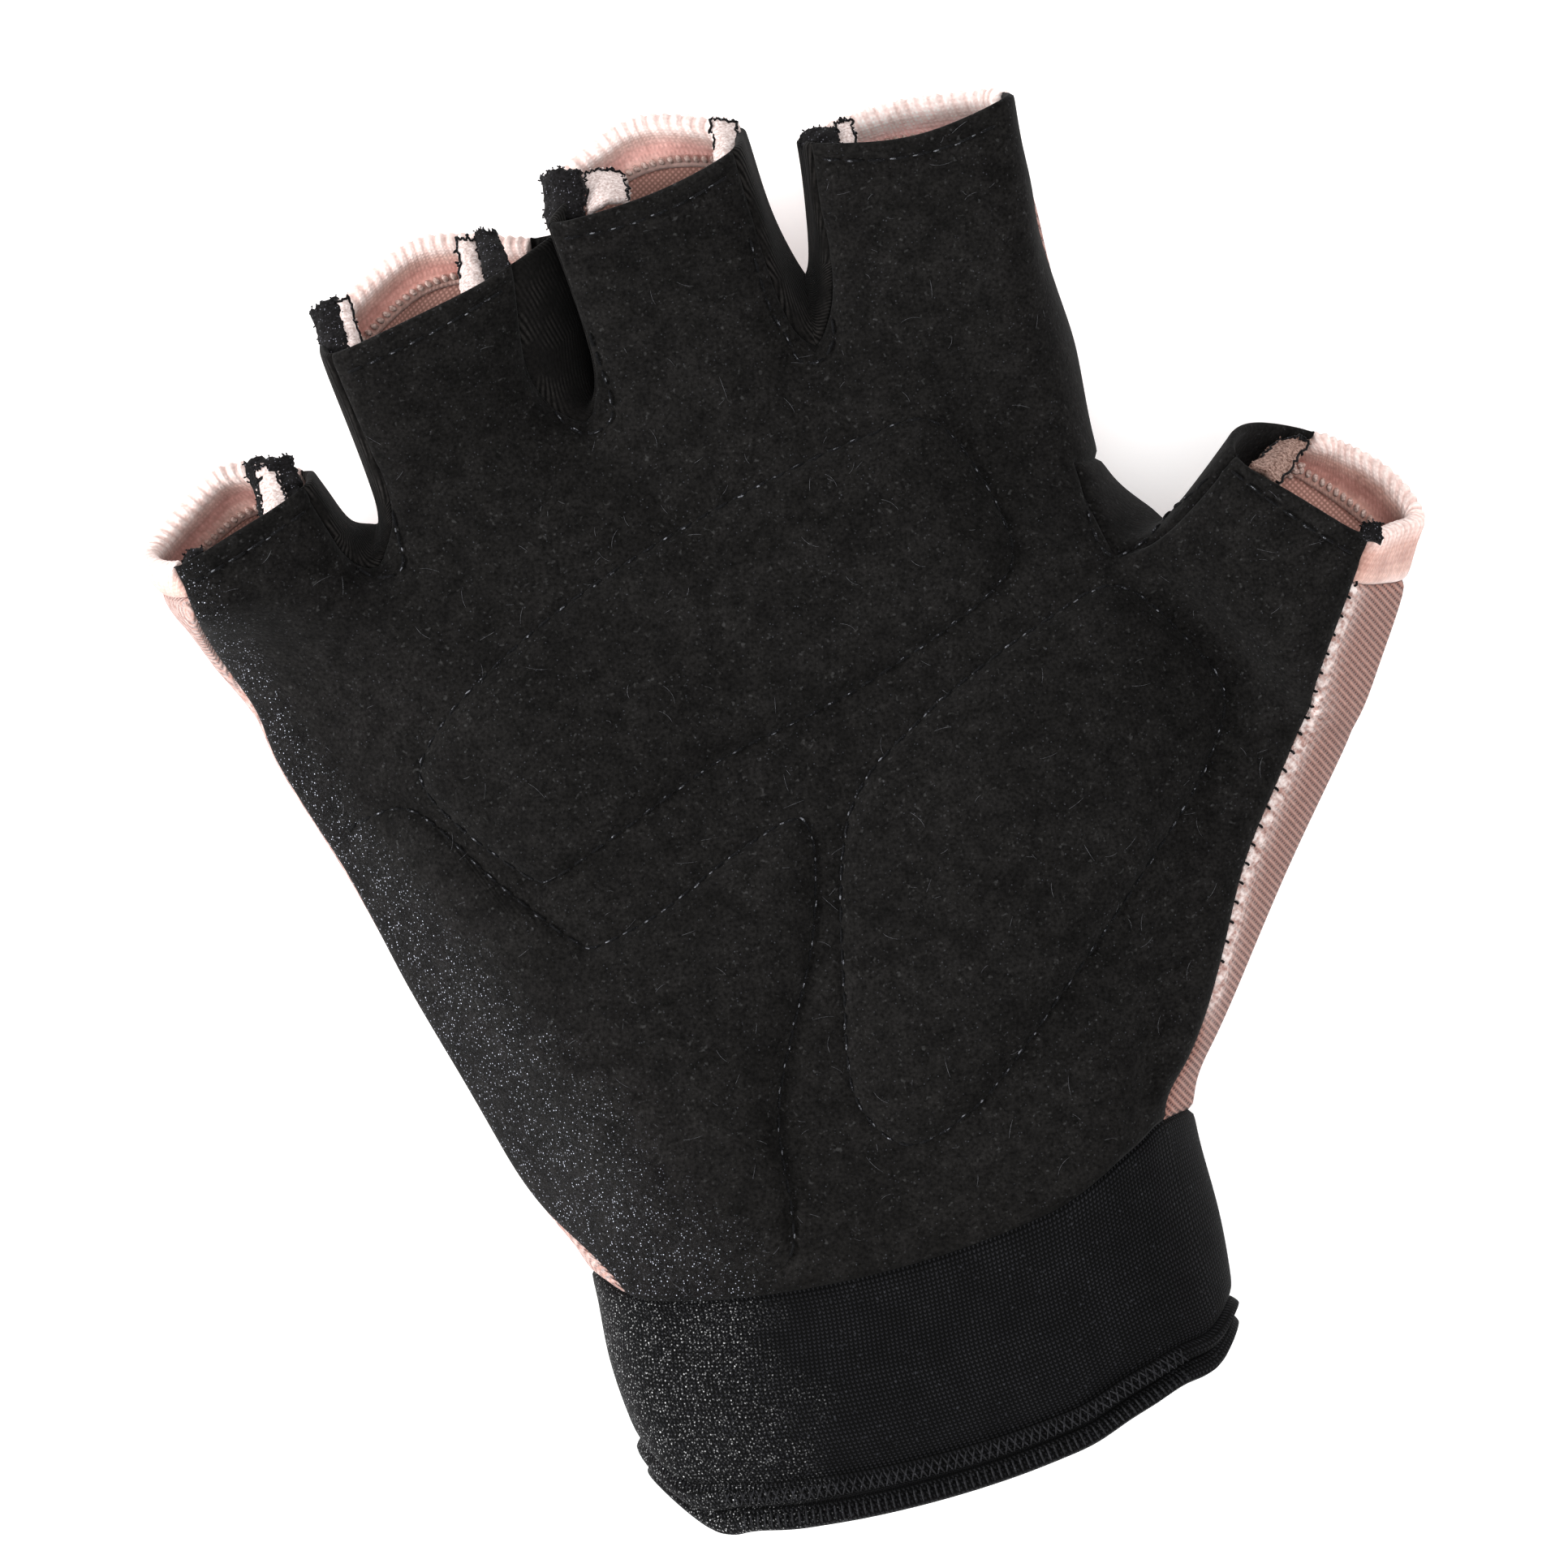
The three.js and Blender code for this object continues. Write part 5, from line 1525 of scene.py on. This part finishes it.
class GLOVE_OT_stitches(bpy.types.Operator):
    """Sews the black topstitching of the palm, with short pale threads laid on some of its tops as painted
    glints
    """

    bl_idname = "glove.stitches"
    bl_label = "Topstitching"

    def execute(self, context):
        sizes = context.scene.glove_sizes
        threads, tips = Threads(), Threads()
        rng = np.random.default_rng(8)
        tree = self.sewn_cloth()
        for line in palm_lines():
            path, normals = lay_on(tree, line, 0.16 * MM)
            stitch_along(threads, path, normals, sizes.stitch, sizes.stitch_gap, sizes.thread)
            pitch = sizes.stitch + sizes.stitch_gap
            # Short pale threads on some stitches' tops stand for painted glints.
            for start in np.arange(0.3 * pitch, path_length(path) - pitch, pitch):
                stops = start + rng.uniform(-0.2, 0.2) * MM + np.linspace(0, rng.uniform(*GLINT_LENGTHS), 4)
                place, up = along_path(path, stops, normals)
                aside = unit(np.cross(up[0], place[-1] - place[0])) * rng.uniform(-0.12, 0.12) * MM
                if rng.random() < GLINT_SHARE:
                    tips.add(place + aside + up * 0.20 * MM, rng.uniform(*GLINT_RADII), 5, 0.5)
        threads.build("palm_topstitching", black_thread(), "palm_suede")
        tips.build("stitch_glints", glint_thread(), "palm_suede")
        return {"FINISHED"}

    def sewn_cloth(self):
        """The palm and the strips between the digits as one surface, to lay stitches on."""
        parts = [(BUILT["palm"]["outer"], BUILT["palm"]["faces"])]
        parts += [(BUILT[name]["outer"], BUILT[name]["sheet"]["faces"]) for name in GUSSET_CUTS]
        counts = np.cumsum([0] + [len(points) for points, _ in parts])
        faces = np.concatenate([part + start for (_, part), start in zip(parts, counts)])
        return surface_tree(np.concatenate([points for points, _ in parts]), faces)


class GLOVE_OT_overlock(bpy.types.Operator):
    """Sews the edge of the pink strip beside the thumb to the suede"""

    bl_idname = "glove.overlock"
    bl_label = "Overlocked seam"

    def execute(self, context):
        sheet, outer = BUILT["back"]["sheet"], BUILT["back"]["outer"]
        chain, _ = thumb_seam(sheet)
        ties = Threads()
        cross_stitches(ties, outer[chain], sheet["inward"][chain], sheet["normals"][chain], TIE_PITCH,
                       (-0.4 * MM, 0.55 * MM), 0.14 * MM, 0.42 * MM, 0.25 * MM, 0.0)
        ties.build("overlock_ties", black_thread(), "palm_suede")
        return {"FINISHED"}


class GLOVE_OT_coverstitch(bpy.types.Operator):
    """Sews the beaded line that holds each finger hem inside"""

    bl_idname = "glove.coverstitch"
    bl_label = "Coverstitching of the hems"

    def execute(self, context):
        beads = Threads()
        for name in (*FINGERS, "thumb"):
            binding = BUILT[f"binding_{name}"]
            sheet, inner = binding["sheet"], binding["inner"]
            far_side = sheet["to_free"][sheet["rim"][0]] > 3.0 * MM
            chain = rim_chain(sheet, ~sheet["is_free"] & far_side)
            tree = surface_tree(inner, sheet["faces"][:, ::-1])
            line = inner[chain] + sheet["inward"][chain] * BEADS_FROM_SEAM
            pressed = [tree.find_nearest(Vector(point)) for point in line]
            path = np.array([hit[0] for hit in pressed])
            into = np.array([hit[1] for hit in pressed])
            cross_stitches(beads, path, sheet["inward"][chain], into, BEAD_PITCH, (-0.35 * MM, 0.40 * MM),
                           BEAD_RADIUS, 0.24 * MM, 0.40 * MM)
        beads.build("hem_coverstitch", pale_pink_thread(), "pink_knit")
        return {"FINISHED"}


class GLOVE_OT_frays(bpy.types.Operator):
    """Makes the frayed seam ends in the mouths of the digits"""

    bl_idname = "glove.frays"
    bl_label = "Frayed seam ends"

    def execute(self, context):
        cloths = (("black", frayed_cloth(), "gusset_mesh"), ("pale", pale_cloth(), "pink_knit"),
                  ("shaded", shaded_cloth(), "pink_knit"))
        for cloth, material, slot in cloths:
            slabs, fuzz, edging = [], Threads(), Threads()
            for seed, fray in enumerate(FRAYS):
                if fray.cloth != cloth:
                    continue
                points, faces, edge, normal = frayed_slab(fray.corners, fray.heights, seed, 0.7 * MM)
                slabs.append((points, faces))
                self.add_fuzz(fuzz, edge, normal, seed)
                if cloth != "black":
                    self.add_edging(edging, edge, normal, seed)
            counts = np.cumsum([0] + [len(points) for points, _ in slabs])
            faces = [tuple(k + start for k in face)
                     for (_, part), start in zip(slabs, counts) for face in part]
            points = np.concatenate([part for part, _ in slabs])
            add_object(f"frayed_ends_{cloth}", points, faces, material)
            fuzz.build(f"frayed_threads_{cloth}", material, slot)
            if edging.count:
                edging.build(f"frayed_edging_{cloth}", frayed_cloth(), "gusset_mesh")
        return {"FINISHED"}

    def add_edging(self, edging, edge, normal, seed):
        """A black thread that wanders round most of a pale end, and knots on it."""
        rng = np.random.default_rng(200 + seed)
        loop = edge[14:-4]
        wander = waves(loop, (0.9 * MM, 1.7 * MM), seed)[:, None] * 0.28 * MM
        inward = unit(loop.mean(axis=0) - loop)
        edging.add(loop + inward * (wander + 0.2 * MM) + normal * 0.10 * MM, 0.14 * MM, 6, 0.6)
        for start in loop[rng.integers(0, len(loop), 7)]:
            knot = unit(rng.normal(size=3)) * np.linspace(-0.3, 0.3, 4)[:, None] * MM
            edging.add(start + normal * 0.1 * MM + knot, 0.16 * MM, 6, 0.5)

    def add_fuzz(self, fuzz, edge, normal, seed):
        """Loose thread ends round the ragged edge."""
        rng = np.random.default_rng(100 + seed)
        middle = edge.mean(axis=0)
        for start in edge[rng.integers(0, len(edge), 32)]:
            heading = unit(unit(start - middle) + rng.normal(size=3) * 0.7)
            share = np.linspace(0, 1, 4)[:, None]
            curl = np.cross(heading, normal) * rng.uniform(-0.3, 0.3)
            reach = rng.uniform(0.12, 0.36) * MM
            fuzz.add(start + (heading * share + curl * share ** 2) * reach, 0.09 * MM, 4, 0.5)


class GLOVE_OT_cuff_stitches(bpy.types.Operator):
    """Sews the zigzag on the cuff's upper roll and the short stitches on its lower roll"""

    bl_idname = "glove.cuff_stitches"
    bl_label = "Stitches of the cuff's hem"

    def execute(self, context):
        rows = {row.name: row for row in BODY_ROWS}
        # Each roll, the rows that it lies between, and its stitches' pitch, radius and lean.
        lines = (("cuff_hem_upper", "band_end", "roll_middle", 0.95 * MM, 0.10 * MM, 0.75 * MM),
                 ("cuff_hem_lower", "roll_middle", "hem_end", 0.80 * MM, 0.11 * MM, 0.0))
        threads = Threads()
        for name, upper, lower, pitch, radius, lean in lines:
            crest = []
            for column in range(1, THUMB_COLUMN):
                above, below = (palm_point(rows[edge], column, THUMB_COLUMN) for edge in (upper, lower))
                crest.append(mix_plan(above, below, 0.5))
            tree = surface_tree(BUILT[name]["outer"], BUILT[name]["sheet"]["faces"])
            path, normals = lay_on(tree, curve_through(crest), 0.04 * MM)
            outward = np.cross(unit(np.gradient(path, axis=0)), normals)
            for turn in ((1, -1) if lean else (1,)):
                cross_stitches(threads, path, outward, normals, pitch, (-0.8 * MM, 0.8 * MM), radius,
                               0.10 * MM, lean * turn)
        threads.build("cuff_hem_stitches", grey_thread(), "cuff_knit")
        return {"FINISHED"}


class GLOVE_OT_lint(bpy.types.Operator):
    """Scatters loose fibres over the palm and pads"""

    bl_idname = "glove.lint"
    bl_label = "Lint"

    def execute(self, context):
        rng = np.random.default_rng(21)
        trees = [BUILT["palm"]["tree"]] + [BUILT[pad.name]["tree"] for pad in PADS]
        fibres = Threads()
        dots, sides = 6, 4
        while fibres.count < LINT_FIBRES * dots * sides:
            start = np.array((rng.uniform(-66, 68), rng.uniform(-48, 74))) * MM
            heading = rng.uniform(0, 2 * math.pi)
            share = np.linspace(0, 1, dots)
            turn = heading + share * rng.uniform(-1.0, 1.0)
            step = np.stack([np.cos(turn), np.sin(turn)], axis=1) * rng.uniform(0.7, 3.0) * MM / dots
            plan = start + np.cumsum(step, axis=0)
            heights = np.max([drop_onto(tree, plan)[0] for tree in trees], axis=0)
            if heights.min() > LEAST_HEIGHT and np.ptp(heights) < 0.7 * MM:
                fibres.add(np.column_stack([plan, heights + 0.04 * MM]), 0.018 * MM, sides, 0.6)
        fibres.build("lint", lint_fibre(), "palm_suede")
        return {"FINISHED"}


class GLOVE_OT_stage(bpy.types.Operator):
    """Sets out the pale table, the soft light and the camera"""

    bl_idname = "glove.stage"
    bl_label = "Stage"

    # The photograph's frame: its width on the glove, its middle, its tilt and how far off the camera stands.
    FRAME_WIDTH = 1932 * 0.088 * MM
    MIDDLE = (-5.597 * MM, 2.663 * MM)
    TILT = math.radians(12.45)
    DISTANCE = 3.0
    GLOVE_HEIGHT = 0.025
    SENSOR = 36.0

    def execute(self, context):
        colours = context.scene.glove_colours
        bpy.ops.object.select_all(action="DESELECT")
        bpy.ops.mesh.primitive_plane_add(size=6.0, location=(0.0, 0.0, -0.0001))
        floor = context.object
        floor.name = "table_top"
        material, tree, shader = new_material("table_white", colours.floor, 0.9, specular=0.1)
        # The table glows a little, which lifts the shadows on it: painted light.
        shader.inputs["Emission Color"].default_value = (1.0, 1.0, 1.0, 1.0)
        shader.inputs["Emission Strength"].default_value = 0.32
        grain = noise(tree, object_place(tree), 90.0, 2.0)
        tint = ramp(tree, grain, scaled(colours.floor, 0.99), tuple(colours.floor), 0.3, 0.7)
        tree.links.new(tint, shader.inputs["Base Color"])
        floor.data.materials.append(material)

        world = bpy.data.worlds.new("studio")
        context.scene.world = world
        world.use_nodes = True
        background = world.node_tree.nodes["Background"]
        background.inputs["Color"].default_value = (1.0, 1.0, 1.0, 1.0)
        background.inputs["Strength"].default_value = 0.60

        self.area_light("left_window", (-1.5, 0.1, 0.7), 0.7, 34.0)
        self.area_light("right_fill", (1.2, 0.3, 1.3), 1.2, 8.0)
        self.area_light("top_soft", (0.1, -0.3, 2.0), 1.6, 24.0)

        lens = self.SENSOR * (self.DISTANCE - self.GLOVE_HEIGHT) / self.FRAME_WIDTH
        data = bpy.data.cameras.new("camera")
        data.sensor_width = self.SENSOR
        data.lens = lens
        data.clip_end = 20.0
        camera = bpy.data.objects.new("camera", data)
        camera.location = (*self.MIDDLE, self.DISTANCE)
        camera.rotation_euler = (0.0, 0.0, -self.TILT)
        context.scene.collection.objects.link(camera)
        context.scene.camera = camera
        context.scene.view_settings.view_transform = "Standard"
        return {"FINISHED"}

    def area_light(self, name, place, size, power):
        data = bpy.data.lights.new(name, "AREA")
        data.shape = "DISK"
        data.size = size
        data.energy = power
        light = bpy.data.objects.new(name, data)
        light.location = place
        light.rotation_euler = (Vector((0, 0, 0.01)) - Vector(place)).to_track_quat("-Z", "Y").to_euler()
        bpy.context.scene.collection.objects.link(light)


OPERATORS = (GLOVE_OT_palm, GLOVE_OT_pads, GLOVE_OT_back, GLOVE_OT_gussets, GLOVE_OT_bindings,
             GLOVE_OT_cuff, GLOVE_OT_stitches, GLOVE_OT_overlock, GLOVE_OT_coverstitch, GLOVE_OT_frays,
             GLOVE_OT_cuff_stitches, GLOVE_OT_lint, GLOVE_OT_stage)


class GLOVE_PT_workshop(bpy.types.Panel):
    """Lists the steps that make the glove, with its sizes and colours"""

    bl_idname = "GLOVE_PT_workshop"
    bl_label = "Cycling glove"
    bl_space_type = "VIEW_3D"
    bl_region_type = "UI"
    bl_category = "Glove"

    def draw(self, context):
        column = self.layout.column(align=True)
        for operator in OPERATORS:
            column.operator(operator.bl_idname)
        for group in (context.scene.glove_sizes, context.scene.glove_colours):
            for name in group.bl_rna.properties.keys():
                if name not in ("rna_type", "name"):
                    self.layout.prop(group, name)


CLASSES = (GloveSizes, GloveColours, *OPERATORS, GLOVE_PT_workshop)


def register():
    for cls in CLASSES:
        bpy.utils.register_class(cls)
    bpy.types.Scene.glove_sizes = bpy.props.PointerProperty(type=GloveSizes)
    bpy.types.Scene.glove_colours = bpy.props.PointerProperty(type=GloveColours)


def unregister():
    del bpy.types.Scene.glove_colours
    del bpy.types.Scene.glove_sizes
    for cls in reversed(CLASSES):
        bpy.utils.unregister_class(cls)


def main():
    register()
    bpy.ops.glove.palm()
    bpy.ops.glove.pads()
    bpy.ops.glove.back()
    bpy.ops.glove.gussets()
    bpy.ops.glove.bindings()
    bpy.ops.glove.cuff()
    bpy.ops.glove.stitches()
    bpy.ops.glove.overlock()
    bpy.ops.glove.coverstitch()
    bpy.ops.glove.frays()
    bpy.ops.glove.cuff_stitches()
    bpy.ops.glove.lint()
    bpy.ops.glove.stage()


if __name__ == "__main__":
    main()
